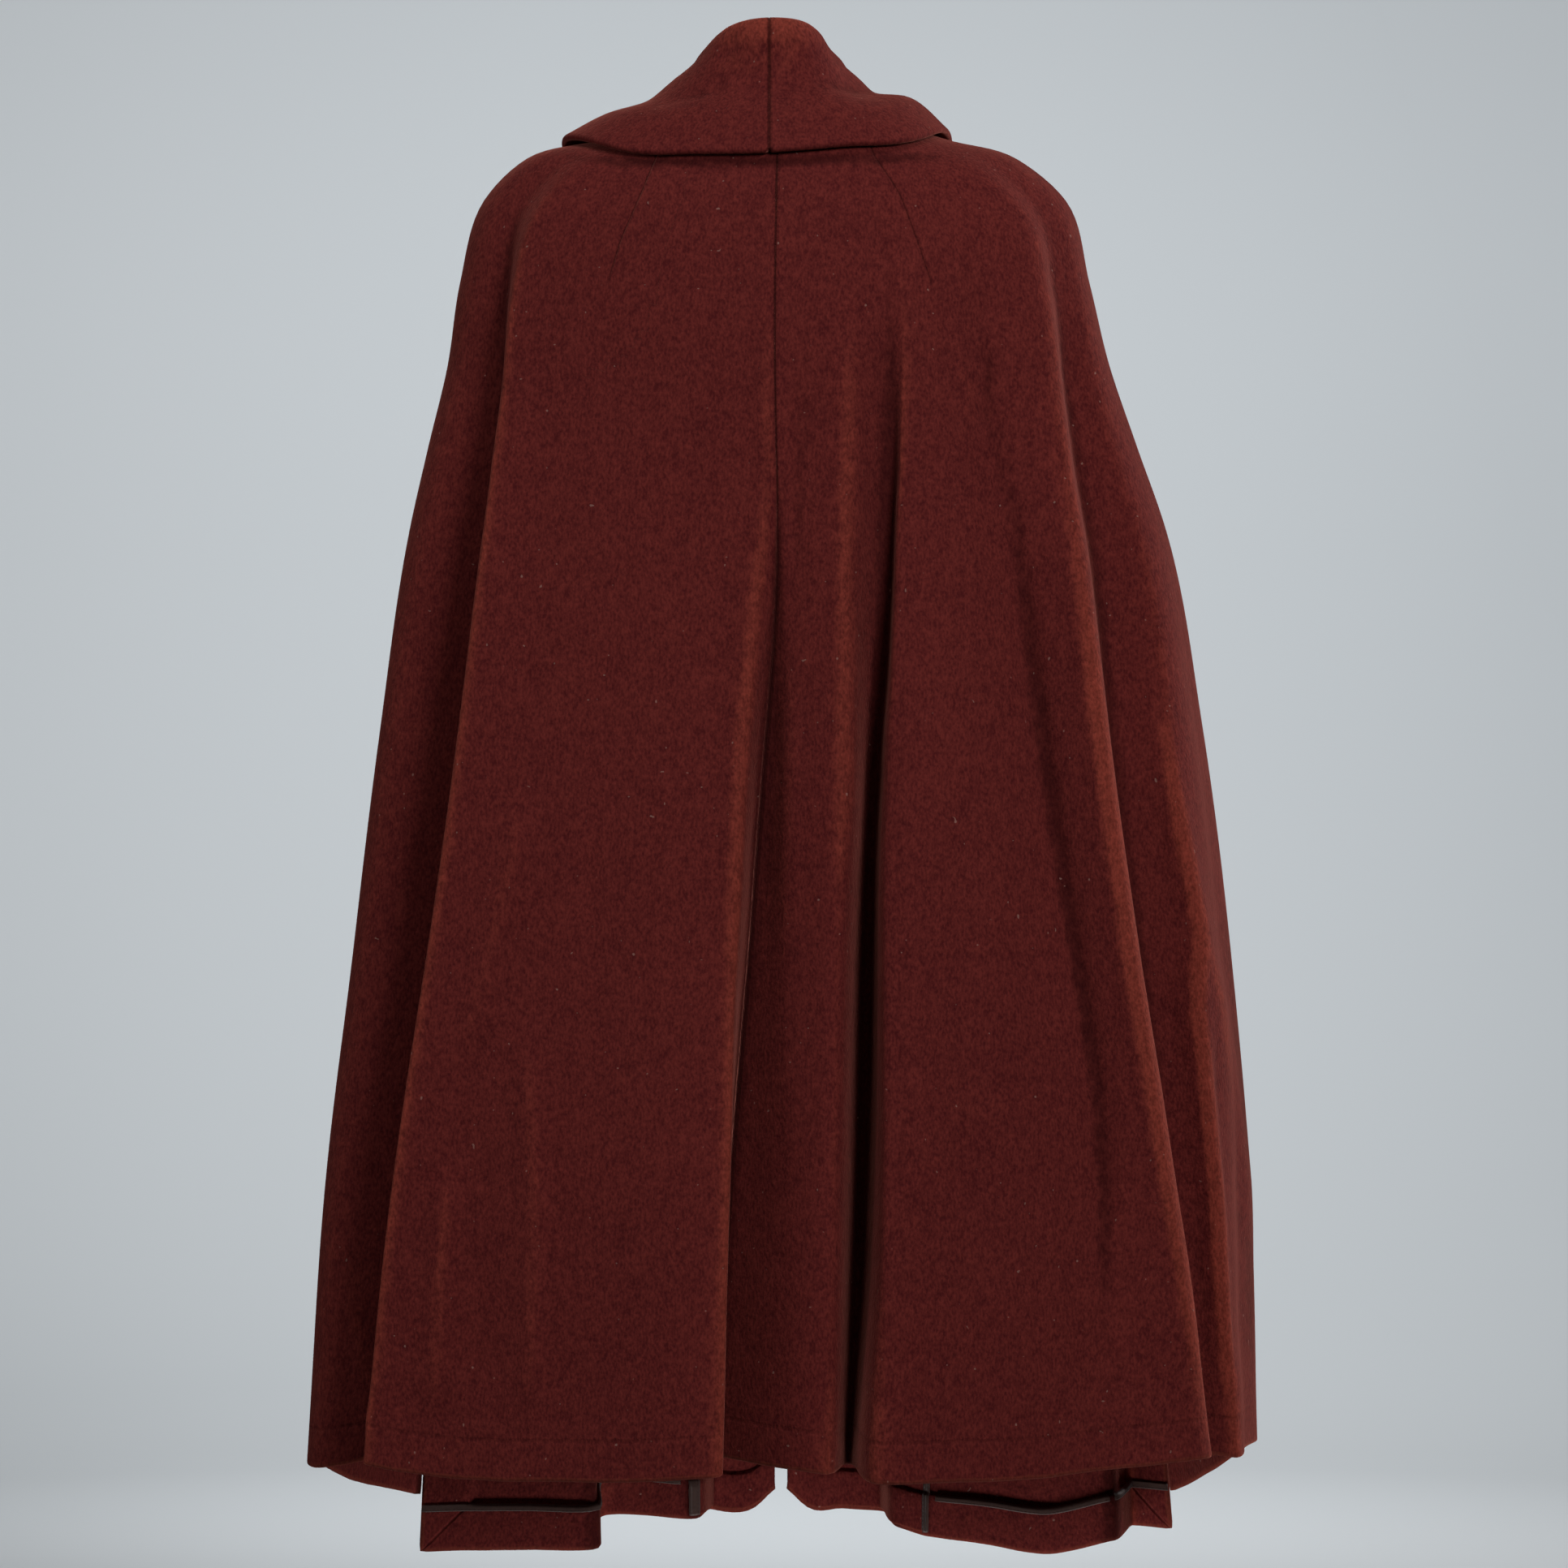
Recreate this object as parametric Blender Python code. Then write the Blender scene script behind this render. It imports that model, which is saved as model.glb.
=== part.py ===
"""A long wool cape with a large collar, filled out with nobody in it.

Metres, +Z up. The front faces -Y, +X is the wearer's left, and the origin is the middle of the neck.
Bearings are in degrees, anticlockwise from +X seen from above, so 90 is the centre back.
"""

import bpy
import numpy as np

CLOTH = 0.0022  # one layer of wool
TURNED_CLOTH = 0.0046  # two layers, where an edge is turned in
COLLAR_CLOTH = 0.0052  # two layers and the turned edge between them
SATIN = 0.0010
SEAM_GAP = 0.0003
MITRE = 0.6  # at a bend the wall's own thickness is kept until its half turn has this cosine
LYING_GAP = 0.0003  # between a panel and what is sewn on it
SLIT_TOP = 0.40  # share of the way from neck to hem where the arm slit starts
SLIT_TURN = 0.040  # width of the cloth turned in along the arm slit
SLIT_OPENING = 1.3  # how slowly the slit opens below its top: 1 would be a straight opening
SLIT_EDGE_OWN = 0.15  # this far below the top of the slit each edge turns its own way
HEM_LIFT_FROM = 0.5  # the hem's rise and fall has died out above this share
HEM_LIFT_POWER = 1.5
HEM_TOP = 0.9705  # share of the way down where the turned-up hem starts
HEM_STEP = 0.967
BINDING_WIDTH = 0.0048
BINDING_SHARE = 0.0045  # the same width as a share of the way down
BOUND_EDGE = 0.0032  # the facing and the satin round its edge
COLUMN_WIDTH = 0.021
SLEEPING_TOP = 0.08  # above this share the folds have died out
FACING_TOP = 0.045
FACING_BOTTOM = 0.997

ROWS = (
    0.0, 0.02, FACING_TOP, 0.075, 0.11, 0.15, 0.19, 0.235, 0.285, 0.34, SLIT_TOP, 0.46, 0.52,
    0.58, 0.64, 0.70, 0.76, 0.82, 0.88, 0.93, HEM_STEP, HEM_TOP, FACING_BOTTOM, 1.0,
)

# One row for each level section of the cape: half widths to the wearer's left and right, depths behind
# and before the neck, and how high the section lies at the sides, the back and the front.
SECTION_COLUMNS = ("name", "left", "right", "back", "front", "side_z", "back_z", "front_z")
SECTIONS = (
    ("neck", 0.072, 0.056, 0.062, 0.068, 0.004, 0.010, -0.038),
    ("under_collar", 0.128, 0.120, 0.091, 0.098, -0.014, -0.032, -0.085),
    ("shoulder", 0.182, 0.170, 0.109, 0.126, -0.028, -0.078, -0.128),
    ("shoulder_point", 0.211, 0.203, 0.117, 0.143, -0.056, -0.115, -0.163),
    ("upper_arm", 0.229, 0.221, 0.126, 0.160, -0.116, -0.171, -0.219),
    ("arm", 0.238, 0.235, 0.131, 0.168, -0.174, -0.225, -0.273),
    ("chest", 0.252, 0.254, 0.136, 0.172, -0.232, -0.281, -0.330),
    ("elbow", 0.265, 0.274, 0.141, 0.177, -0.290, -0.336, -0.386),
    ("waist", 0.287, 0.301, 0.154, 0.192, -0.435, -0.471, -0.524),
    ("hip", 0.308, 0.322, 0.172, 0.212, -0.609, -0.632, -0.689),
    ("thigh", 0.328, 0.336, 0.188, 0.232, -0.783, -0.788, -0.850),
    ("hem", 0.338, 0.342, 0.200, 0.250, -0.955, -0.938, -1.010),
)

# One row for each fold line: its bearing at the five levels, how far it stands out there (minus is a
# valley), how much higher or lower than its section the hem lies on it, and how sharply the cloth turns
# there, from 0, as round as it comes, to 1, a crease.
LEVELS = (0.20, 0.36, 0.52, 0.76, 1.00)
FOLD_COLUMNS = ("name", "bearing", "out", "hem_lift", "sharp")
BACK_FOLDS = (
    ("slit_left", (-44, -43, -41, -38.5, -36), (0, 0, 0.004, 0.006, 0.004), -0.030, 0),
    ("side_front_left", (-24, -24, -23, -22, -20), (0, 0.002, 0.002, 0, -0.004), -0.022, 0),
    ("side_left", (-2, -2, -1, 0, 1), (0, -0.001, -0.002, -0.002, -0.001), -0.002, 0),
    ("side_back_left", (14, 15, 15, 15, 15), (-0.001, -0.002, -0.001, -0.001, 0), 0, 0),
    ("valley_left", (28, 32.5, 34, 33, 31), (-0.013, -0.027, -0.038, -0.047, -0.050), 0.012, 0.2),
    ("ridge_left", (37.4, 41.9, 43.0, 41.0, 39), (0.007, 0.017, 0.025, 0.032, 0.035), 0.012, 0.75),
    ("panel_left_outer", (46, 51, 53, 50, 49), (0.003, 0.008, 0.014, 0.017, 0.018), 0.002, 0),
    ("panel_left_inner", (60, 63, 64, 63, 62), (0, 0.004, 0.007, 0.010, 0.012), -0.001, 0),
    ("ridge_centre", (86, 86.3, 84.6, 84.2, 83.6), (0, 0.003, 0.009, 0.016, 0.020), 0.004, 0.65),
    ("centre_seam", (89, 89.5, 87.5, 84.0, 81.5), (0, -0.002, -0.014, -0.034, -0.042), 0.008, 0.3),
    ("middle", (93.5, 92.5, 92, 91.2, 90), (0, 0.003, -0.002, -0.010, -0.014), 0.004, 0),
    ("middle_ridge", (102, 98.5, 97.6, 96.4, 95.5), (0.001, 0.007, 0.007, 0.001, -0.008), 0.001, 0),
    ("valley_right", (109, 105.2, 102.2, 100.2, 98.2), (-0.002, -0.012, -0.028, -0.040, -0.044), 0.002, 0),
    ("ridge_right_inner", (113, 107.4, 103.4, 101.5, 100), (0.001, 0.005, 0.013, 0.022, 0.027), 0, 0.75),
    ("panel_right", (123, 118, 115, 113, 111.5), (0.001, 0.004, 0.010, 0.016, 0.020), 0, 0),
    ("crease_right", (130, 128, 127.8, 130, 129), (-0.001, -0.004, -0.002, 0.005, 0.012), 0.006, 0.3),
    ("ridge_right", (145.2, 137.6, 135.3, 138.2, 143.8), (0.007, 0.015, 0.022, 0.027, 0.030), 0.016, 0.75),
    ("valley_right_outer", (154, 146.5, 143.5, 145.5, 149), (-0.006, -0.014, -0.019, -0.019, -0.014),
     0.014, 0.1),
    ("pipe_right", (162, 156.5, 153, 152, 152.5), (0, 0.001, 0.006, 0.012, 0.016), 0.012, 0.55),
    ("side_back_right", (173, 171, 169, 167, 165), (0, 0.001, -0.001, -0.003, -0.004), 0.014, 0),
    ("side_right", (184, 184, 182, 181, 180), (0, 0, 0.001, 0.001, -0.001), 0.012, 0),
    ("side_front_right", (204, 204, 203, 201, 198), (0, 0.004, 0.004, 0.001, -0.004), -0.012, 0),
    ("slit_right", (224, 223, 221, 216.5, 211), (0, 0, 0.004, 0.009, 0.012), -0.030, 0),
)
FRONT_LEFT_FOLDS = (
    ("front_edge", (-89.2, -89.2, -89.2, -89.2, -89.2), (0, 0, 0, -0.002, -0.005), -0.004, 0),
    ("front_corner", (-86, -86.3, -86.5, -86.6, -86.6), (0, 0, 0, -0.001, -0.003), -0.019, 0),
    ("front_ridge", (-78, -79, -80, -80.5, -80.5), (0, 0.002, 0.002, 0.001, 0), -0.022, 0.5),
    ("front_valley", (-71, -73, -75, -77, -77.5), (0, -0.002, -0.012, -0.030, -0.044), -0.023, 0.3),
    ("front_middle", (-60, -61, -62, -63, -63.5), (0, 0.002, -0.004, -0.018, -0.029), -0.031, 0),
    ("front_fold", (-56, -57, -58, -59.5, -60.5), (0, -0.003, -0.018, -0.046, -0.068), -0.049, 0.5),
    ("front_side", (-50, -50, -50, -50, -50), (0, 0, -0.008, -0.028, -0.044), -0.059, 0),
    ("front_slit", (-44, -43, -41, -38.5, -36), (0, 0, 0, -0.006, -0.014), -0.072, 0),
)
FRONT_RIGHT_FOLDS = (
    ("front_slit", (224, 223, 221, 218, 215), (0, 0, 0.002, 0.010, 0.016), -0.058, 0),
    ("front_pipe", (228, 227, 225, 222.5, 220.5), (0, 0.001, 0.002, 0.003, 0.004), -0.052, 0.3),
    ("front_fold", (232, 231, 228, 222, 217.5), (0, -0.003, -0.010, -0.024, -0.036), -0.059, 0.5),
    ("front_side", (237, 236, 234, 230, 228), (0, -0.002, -0.012, -0.034, -0.050), -0.062, 0),
    ("front_middle", (242, 242, 241, 239, 238), (0, -0.001, -0.014, -0.044, -0.068), -0.047, 0),
    ("front_valley", (250, 250, 250, 249, 248), (0, -0.002, -0.016, -0.048, -0.070), -0.035, 0.3),
    ("front_turn", (254, 254, 254, 253, 252), (0, 0.001, -0.012, -0.044, -0.066), -0.028, 0.5),
    ("front_ridge", (258, 258, 257, 256.5, 256), (0, 0.003, 0, -0.006, -0.010), -0.023, 0.5),
    ("front_flat", (263, 263, 263, 262, 262), (0, 0.001, 0.001, 0, 0), -0.021, 0),
    ("front_corner", (266, 266.3, 266.5, 266.6, 266.6), (0, 0, 0, 0, -0.001), -0.019, 0),
    ("front_edge", (269.2, 269.2, 269.2, 269.2, 269.2), (0, 0, 0, -0.001, -0.003), -0.004, 0),
)

# One row for each section of the collar, from the left front round the back to the right front: how far
# from the axis of the neck its roll and its crease lie and how high, how far out its edge rests, and how
# much the fall bows up between crease and edge.
COLLAR_COLUMNS = ("bearing", "roll_r", "roll_z", "crease_r", "crease_z", "edge_r", "bow")
COLLAR = (
    (-88.6, 0.073, -0.016, 0.090, -0.048, 0.148, 0.003),
    (-60, 0.071, -0.008, 0.094, -0.032, 0.152, 0.003),
    (-30, 0.061, 0.014, 0.096, -0.002, 0.154, 0.003),
    (0, 0.050, 0.037, 0.089, 0.010, 0.147, 0.003),
    (30, 0.046, 0.049, 0.078, 0.013, 0.129, 0.003),
    (60, 0.050, 0.059, 0.071, 0.014, 0.105, 0.003),
    (90, 0.055, 0.062, 0.069, 0.014, 0.0985, 0.002),
    (120, 0.050, 0.060, 0.0725, 0.014, 0.105, 0.003),
    (150, 0.043, 0.048, 0.070, 0.015, 0.123, 0.006),
    (180, 0.049, 0.037, 0.074, 0.017, 0.128, 0.009),
    (210, 0.062, 0.012, 0.090, 0.004, 0.144, 0.006),
    (240, 0.071, -0.008, 0.094, -0.030, 0.152, 0.003),
    (268.6, 0.073, -0.016, 0.090, -0.048, 0.148, 0.003),
)
COLLAR_AXIS_X = 0.008
COLLAR_STEP = 11.5  # degrees between two sections of the collar
COLLAR_SPANS = (1, 1, 1, 1, 1, 1, 2, 3)  # steps between each two points of the section
COLLAR_STAND = (0.55, -0.006)  # the stand's middle point: share of the way to the roll, and inwards
COLLAR_ROLL = ((-0.004, -0.004), (0.002, 0.0005), (0.007, -0.006))  # out and up from the roll's place
COLLAR_FULLNESS = 0.001  # the fall lies this far outside a straight line between its points
COLLAR_SLOPE_REACH = 0.002
COLLAR_REST = 0.0024  # the edge of the collar lies this far above the shoulders
NECK_SEAM_RISE = 0.0036

WOOL = (0.115, 0.026, 0.022)
WOOL_TURNED = (0.100, 0.023, 0.020)
SATIN_BROWN = (0.045, 0.022, 0.017)


def through(knots, values, at, sharp=0):
    """A curve through a row of values at each knot, read at the places at. A sharp knot is a tight bend."""
    knots, values, at = (np.asarray(part, float) for part in (knots, values, at))
    steps = np.diff(knots)
    secants = np.diff(values, axis=0) / steps[:, None]
    slopes = np.empty_like(values)
    slopes[0], slopes[-1] = secants[0], secants[-1]
    weight = (steps[:-1] / (steps[:-1] + steps[1:]))[:, None]
    slopes[1:-1] = secants[:-1] * (1 - weight) + secants[1:] * weight
    slopes *= 1 - np.broadcast_to(sharp, len(knots))[:, None]
    span = np.clip(np.searchsorted(knots, at, side="right") - 1, 0, len(steps) - 1)
    h = steps[span][:, None]
    s = ((at - knots[span]) / steps[span])[:, None]
    return (
        values[span] * (1 + 2 * s) * (1 - s) ** 2
        + slopes[span] * h * s * (1 - s) ** 2
        + values[span + 1] * s * s * (3 - 2 * s)
        + slopes[span + 1] * h * s * s * (s - 1)
    )


def running(points):
    """Distance along a row of points, as shares of its whole length."""
    gone = np.concatenate([[0], np.cumsum(np.linalg.norm(np.diff(points, axis=0), axis=1))])
    return gone / gone[-1]


SECTION_SIZES = np.array([row[1:] for row in SECTIONS])
SECTION_KNOTS = running(SECTION_SIZES[:, [0, 4]])


def ring(share, bearing, out):
    """Points of the level section at that share of the way down, standing out by out."""
    left, right, back, front, side_z, back_z, front_z = through(SECTION_KNOTS, SECTION_SIZES, [share])[0]
    angle = np.radians(bearing)
    c, s = np.cos(angle), np.sin(angle)
    width = np.where(c > 0, left, right)
    depth = np.where(s > 0, back, front)
    normal_x, normal_y = c / width, s / depth
    length = np.hypot(normal_x, normal_y)
    x = width * c + out * normal_x / length
    y = depth * s + out * normal_y / length
    z = side_z * c * c + np.where(s > 0, back_z, front_z) * s * s
    return np.stack([x, y, z], axis=-1)


def fold_lines(folds, share):
    """Bearing, out and lift of each fold line at that share of the way down."""
    levels = (SLEEPING_TOP, *LEVELS)
    bearings = np.array([(row[1][0], *row[1]) for row in folds], float).T
    outs = np.array([(0, *row[2]) for row in folds], float).T
    at = [max(share, SLEEPING_TOP)]
    below = max((share - HEM_LIFT_FROM) / (1 - HEM_LIFT_FROM), 0)
    lift = np.array([row[3] for row in folds]) * below**HEM_LIFT_POWER
    return np.stack([through(levels, bearings, at)[0], through(levels, outs, at)[0], lift], axis=1)


def opened(share):
    """0 above the arm slit, growing to 1 at the hem."""
    s = max((share - SLIT_TOP) / (1 - SLIT_TOP), 0)
    return s**SLIT_OPENING


def front_lines(folds, share, seam_end):
    """The fold lines of a front, its slit edge held on the back's edge down to the top of the slit."""
    lines = fold_lines(folds, share)
    side = fold_lines(BACK_FOLDS, share)[0 if seam_end == -1 else -1]
    gap = fold_lines(folds, 1.0)[seam_end] - fold_lines(BACK_FOLDS, 1.0)[0 if seam_end == -1 else -1]
    lines[seam_end] = side + gap * opened(share)
    return lines


def columns(folds, width):
    """Places across a panel, closer where the folds are close, and each fold line's own place."""
    at_hem = fold_lines(folds, 1.0)
    knots = running(ring(1.0, at_hem[:, 0], at_hem[:, 1])[:, :2])
    length = np.linalg.norm(np.diff(ring(1.0, at_hem[:, 0], at_hem[:, 1])[:, :2], axis=0), axis=1)
    places, at = [0.0], []
    for a, b, long in zip(knots[:-1], knots[1:], length):
        count = max(2, round(long / width))
        at.append(len(places) - 1)
        places += [a + (b - a) * (k + 1) / count for k in range(count)]
    return knots, np.array(places), [*at, len(places) - 1]


def surface(lines_at, folds, knots, places):
    """Rows of points of the outside of the cloth."""
    rows, sharp = [], [row[4] for row in folds]
    for share in ROWS:
        bearing, out, lift = through(knots, lines_at(share), places, sharp).T
        points = ring(share, bearing, out)
        points[:, 2] += lift
        rows.append(points)
    return np.array(rows)


def normals(points):
    """Outward normals of a grid whose rows run down and whose columns run anticlockwise.

    At a bend each is longer, so that a wall made by them keeps its thickness.
    """
    step = np.diff(points, axis=1)
    step /= np.linalg.norm(step, axis=2, keepdims=True)
    across = np.concatenate([step[:, :1], (step[:, :-1] + step[:, 1:]) / 2, step[:, -1:]], axis=1)
    found = np.cross(np.gradient(points, axis=0), across)
    bend = np.maximum(np.linalg.norm(across, axis=2, keepdims=True), MITRE)
    return found / np.linalg.norm(found, axis=2, keepdims=True) / bend


def wall_faces(rows, cols):
    """Triangles of a wall whose outer grid comes first and whose inner grid follows."""
    inner = rows * cols
    faces = []
    for r in range(rows - 1):
        for c in range(cols - 1):
            a, b, d, e = r * cols + c, r * cols + c + 1, (r + 1) * cols + c, (r + 1) * cols + c + 1
            faces += [(a, d, e), (a, e, b)]
            faces += [(inner + a, inner + e, inner + d), (inner + a, inner + b, inner + e)]
    rim = [c for c in range(cols)]
    rim += [r * cols + cols - 1 for r in range(1, rows)]
    rim += [(rows - 1) * cols + c for c in range(cols - 2, -1, -1)]
    rim += [r * cols for r in range(rows - 2, 0, -1)]
    for a, b in zip(rim, rim[1:] + rim[:1]):
        faces += [(a, b, inner + b), (a, inner + b, inner + a)]
    return faces


def material(name, colour, roughness):
    made = bpy.data.materials.new(name)
    made.use_nodes = True
    shader = made.node_tree.nodes["Principled BSDF"]
    shader.inputs["Base Color"].default_value = (*colour, 1)
    shader.inputs["Roughness"].default_value = roughness
    shader.inputs["Metallic"].default_value = 0
    return made


def body(name, points, faces, colour, roughness):
    mesh = bpy.data.meshes.new(name)
    mesh.from_pydata(points.reshape(-1, 3).tolist(), [], faces)
    mesh.shade_smooth()
    mesh.materials.append(material(name + "_finish", colour, roughness))
    made = bpy.data.objects.new(name, mesh)
    cape.objects.link(made)
    return made


def wall(name, outer, inner, colour=WOOL, roughness=0.9):
    """One piece of cloth between two grids of points."""
    points = np.concatenate([outer.reshape(-1, 3), inner.reshape(-1, 3)])
    return body(name, points, wall_faces(*outer.shape[:2]), colour, roughness)


def pulled_in(points, ends):
    """The grid with half a seam gap taken off those of its two side edges."""
    points = points.copy()
    for edge, beside in ends:
        step = points[:, beside] - points[:, edge]
        points[:, edge] += step * (SEAM_GAP / 2 / np.linalg.norm(step, axis=1, keepdims=True))
    return points


def thickness(points, slit_end):
    """The wall's thickness at each point: two layers in the hem and beside the arm slit."""
    thick = np.full(points.shape[:2], CLOTH)
    thick[np.array(ROWS) >= HEM_TOP - 1e-6] = TURNED_CLOTH
    across = np.cumsum(np.linalg.norm(np.diff(points[-1], axis=0), axis=1))
    from_start = np.concatenate([[0], across])
    from_slit = from_start if slit_end == 0 else from_start[-1] - from_start
    below = np.array(ROWS) > SLIT_TOP + 1e-6
    thick[np.ix_(below, from_slit <= SLIT_TURN)] = TURNED_CLOTH
    return thick


def between(grid, place, axis):
    """The row or column of a grid at a place that may lie between two of them."""
    low = min(int(place), grid.shape[axis] - 2)
    s = place - low
    return grid.take(low, axis) * (1 - s) + grid.take(low + 1, axis) * s


def lying(points, normal, thick, across, top, bottom, height):
    """The two faces of a strip sewn on the inside of a panel, made from the panel's points."""
    shares = np.array(ROWS)
    at = [top, *shares[(shares > top + 1e-6) & (shares < bottom - 1e-6)], bottom]
    down = np.interp(at, shares, np.arange(len(shares)))
    faces = []
    for lift in (LYING_GAP, LYING_GAP + height):
        moved = points - normal * (thick + lift)[:, :, None]
        rows = np.array([between(moved, place, 0) for place in down])
        faces.append(np.array([between(rows, place, 1) for place in across]).transpose(1, 0, 2))
    return faces


def past(points, column, step, distance):
    """The place that lies that far from a column at the hem, towards the next one."""
    length = np.linalg.norm(points[-1, column + step] - points[-1, column])
    return column + step * distance / length


def shoulder_height(radius, angle):
    """How high the body is at a distance from the axis of the collar."""
    x, y = COLLAR_AXIS_X + radius * np.cos(angle), radius * np.sin(angle)
    shares = np.linspace(0, LEVELS[1], 120)
    left, right, back, front, side_z, back_z, front_z = through(SECTION_KNOTS, SECTION_SIZES, shares).T
    across, along = x / (left if x > 0 else right), y / (back if y > 0 else front)
    share = np.interp(1, 1 / (across**2 + along**2), shares)
    turn = np.arctan2(np.interp(share, shares, along), np.interp(share, shares, across))
    return ring(share, np.degrees(turn), 0)[2]


def collar_section(sizes, seam, angle, thick):
    """Points from the neck seam over the roll to the edge, for the upper side and the under side."""
    roll_r, roll_z, crease_r, crease_z, edge_r, bow = sizes
    reach = COLLAR_SLOPE_REACH
    slope = (shoulder_height(edge_r + reach, angle) - shoulder_height(edge_r - reach, angle)) / (2 * reach)
    edge_z = shoulder_height(edge_r, angle) + (thick / 2 + COLLAR_REST) * np.hypot(1, slope)
    seam_r, seam_z = seam
    stand, inwards = COLLAR_STAND
    path = np.array([
        (seam_r, seam_z),
        (seam_r + stand * (roll_r + inwards - seam_r), seam_z + stand * (roll_z - seam_z)),
        *((roll_r + out, roll_z + up) for out, up in COLLAR_ROLL),
        ((roll_r + crease_r) / 2 + COLLAR_FULLNESS, (roll_z + crease_z) / 2),
        (crease_r, crease_z),
        ((crease_r + edge_r) / 2 + COLLAR_FULLNESS, (crease_z + edge_z) / 2 + bow),
        (edge_r, edge_z),
    ])
    knots = running(path)
    shares = [a + (b - a) * k / n for a, b, n in zip(knots, knots[1:], COLLAR_SPANS) for k in range(n)]
    line = through(knots, path, [*shares, 1])
    along = np.gradient(line, axis=0)
    along /= np.linalg.norm(along, axis=1, keepdims=True)
    out = np.stack([-along[:, 1], along[:, 0]], axis=1)
    return line + out * thick / 2, line - out * thick / 2


def make_collar(name, first, last):
    bearings = np.array([row[0] for row in COLLAR])
    sizes = np.array([row[1:] for row in COLLAR])
    count = round((last - first) / COLLAR_STEP)
    upper, under = [], []
    for k in range(count + 1):
        bearing = first + (last - first) * k / count
        angle = np.radians(bearing)
        seam = ring(0, np.array([bearing]), 0)[0]
        seam_size = (np.hypot(seam[0] - COLLAR_AXIS_X, seam[1]) - CLOTH / 2, seam[2] + NECK_SEAM_RISE)
        top, low = collar_section(through(bearings, sizes, [bearing])[0], seam_size, angle, COLLAR_CLOTH)
        for side, line in ((upper, top), (under, low)):
            side.append([(COLLAR_AXIS_X + r * np.cos(angle), r * np.sin(angle), z) for r, z in line])
    upper, under = (np.array(side).transpose(1, 0, 2) for side in (upper, under))
    ends = ((-1, -2),) if last == 90 else ((0, 1),)
    return wall(name, pulled_in(upper, ends), pulled_in(under, ends))


for old in list(bpy.data.objects):
    bpy.data.objects.remove(old)
cape = bpy.data.collections.new("cape")
bpy.context.scene.collection.children.link(cape)

back_knots, back_places, back_at = columns(BACK_FOLDS, COLUMN_WIDTH)
back = surface(lambda share: fold_lines(BACK_FOLDS, share), BACK_FOLDS, back_knots, back_places)
back_normal = normals(back)
seam_column = back_at[[row[0] for row in BACK_FOLDS].index("centre_seam")]

fronts = {}
for side, folds, seam_end in (("left", FRONT_LEFT_FOLDS, -1), ("right", FRONT_RIGHT_FOLDS, 0)):
    knots, places, at = columns(folds, COLUMN_WIDTH)
    points = surface(lambda share: front_lines(folds, share, seam_end), folds, knots, places)
    normal = normals(points)
    back_end = 0 if seam_end == -1 else -1
    own = np.clip((np.array(ROWS) - SLIT_TOP) / SLIT_EDGE_OWN, 0, 1)[:, None]
    shared = normal[:, seam_end] + back_normal[:, back_end]
    for each, end in ((normal, seam_end), (back_normal, back_end)):
        mixed = shared / np.linalg.norm(shared, axis=1, keepdims=True) * (1 - own) + each[:, end] * own
        each[:, end] = mixed / np.linalg.norm(mixed, axis=1, keepdims=True)
    fronts[side] = (points, normal, at, seam_end, [row[0] for row in folds])

halves = (
    ("back_left", slice(0, seam_column + 1), ((0, 1), (-1, -2)), 0),
    ("back_right", slice(seam_column, None), ((0, 1), (-1, -2)), -1),
)
for name, part, ends, slit_end in halves:
    points, normal = pulled_in(back[:, part], ends), back_normal[:, part]
    thick = thickness(points, slit_end)
    wall(name, points, points - normal * thick[:, :, None])

for side, (points, normal, at, seam_end, names) in fronts.items():
    points = pulled_in(points, ((-1, -2),) if seam_end == -1 else ((0, 1),))
    thick = thickness(points, seam_end)
    wall("front_" + side, points, points - normal * thick[:, :, None])
    edge = at[names.index("front_valley")]
    last = points.shape[1] - 1
    step = 1 if side == "left" else -1
    facing = range(0, edge + 1) if side == "left" else range(edge, last + 1)
    strip = lying(points, normal, thick, facing, FACING_TOP, FACING_BOTTOM, CLOTH)
    wall("facing_" + side, *strip, WOOL_TURNED)
    bound = sorted(past(points, edge, step, distance) for distance in (SEAM_GAP, SEAM_GAP + BINDING_WIDTH))
    strip = lying(points, normal, thick, bound, FACING_TOP, FACING_BOTTOM, BOUND_EDGE)
    wall("facing_binding_" + side, *strip, SATIN_BROWN, 0.35)
    start = past(points, edge, step, 2 * BINDING_WIDTH)
    along = [start, *range(edge + 1, last + 1)] if side == "left" else [*range(edge), start]
    strip = lying(points, normal, thick, along, HEM_TOP, HEM_TOP + BINDING_SHARE, SATIN)
    wall("hem_binding_" + side, *strip, SATIN_BROWN, 0.35)

make_collar("collar_left", COLLAR[0][0], 90)
make_collar("collar_right", 90, COLLAR[-1][0])
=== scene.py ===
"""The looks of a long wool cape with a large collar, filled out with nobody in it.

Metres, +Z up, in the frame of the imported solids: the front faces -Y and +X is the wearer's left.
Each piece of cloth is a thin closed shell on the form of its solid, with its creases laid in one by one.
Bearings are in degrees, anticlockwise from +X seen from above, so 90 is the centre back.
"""

import math

import bpy
import numpy as np
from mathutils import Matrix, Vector, noise


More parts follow.
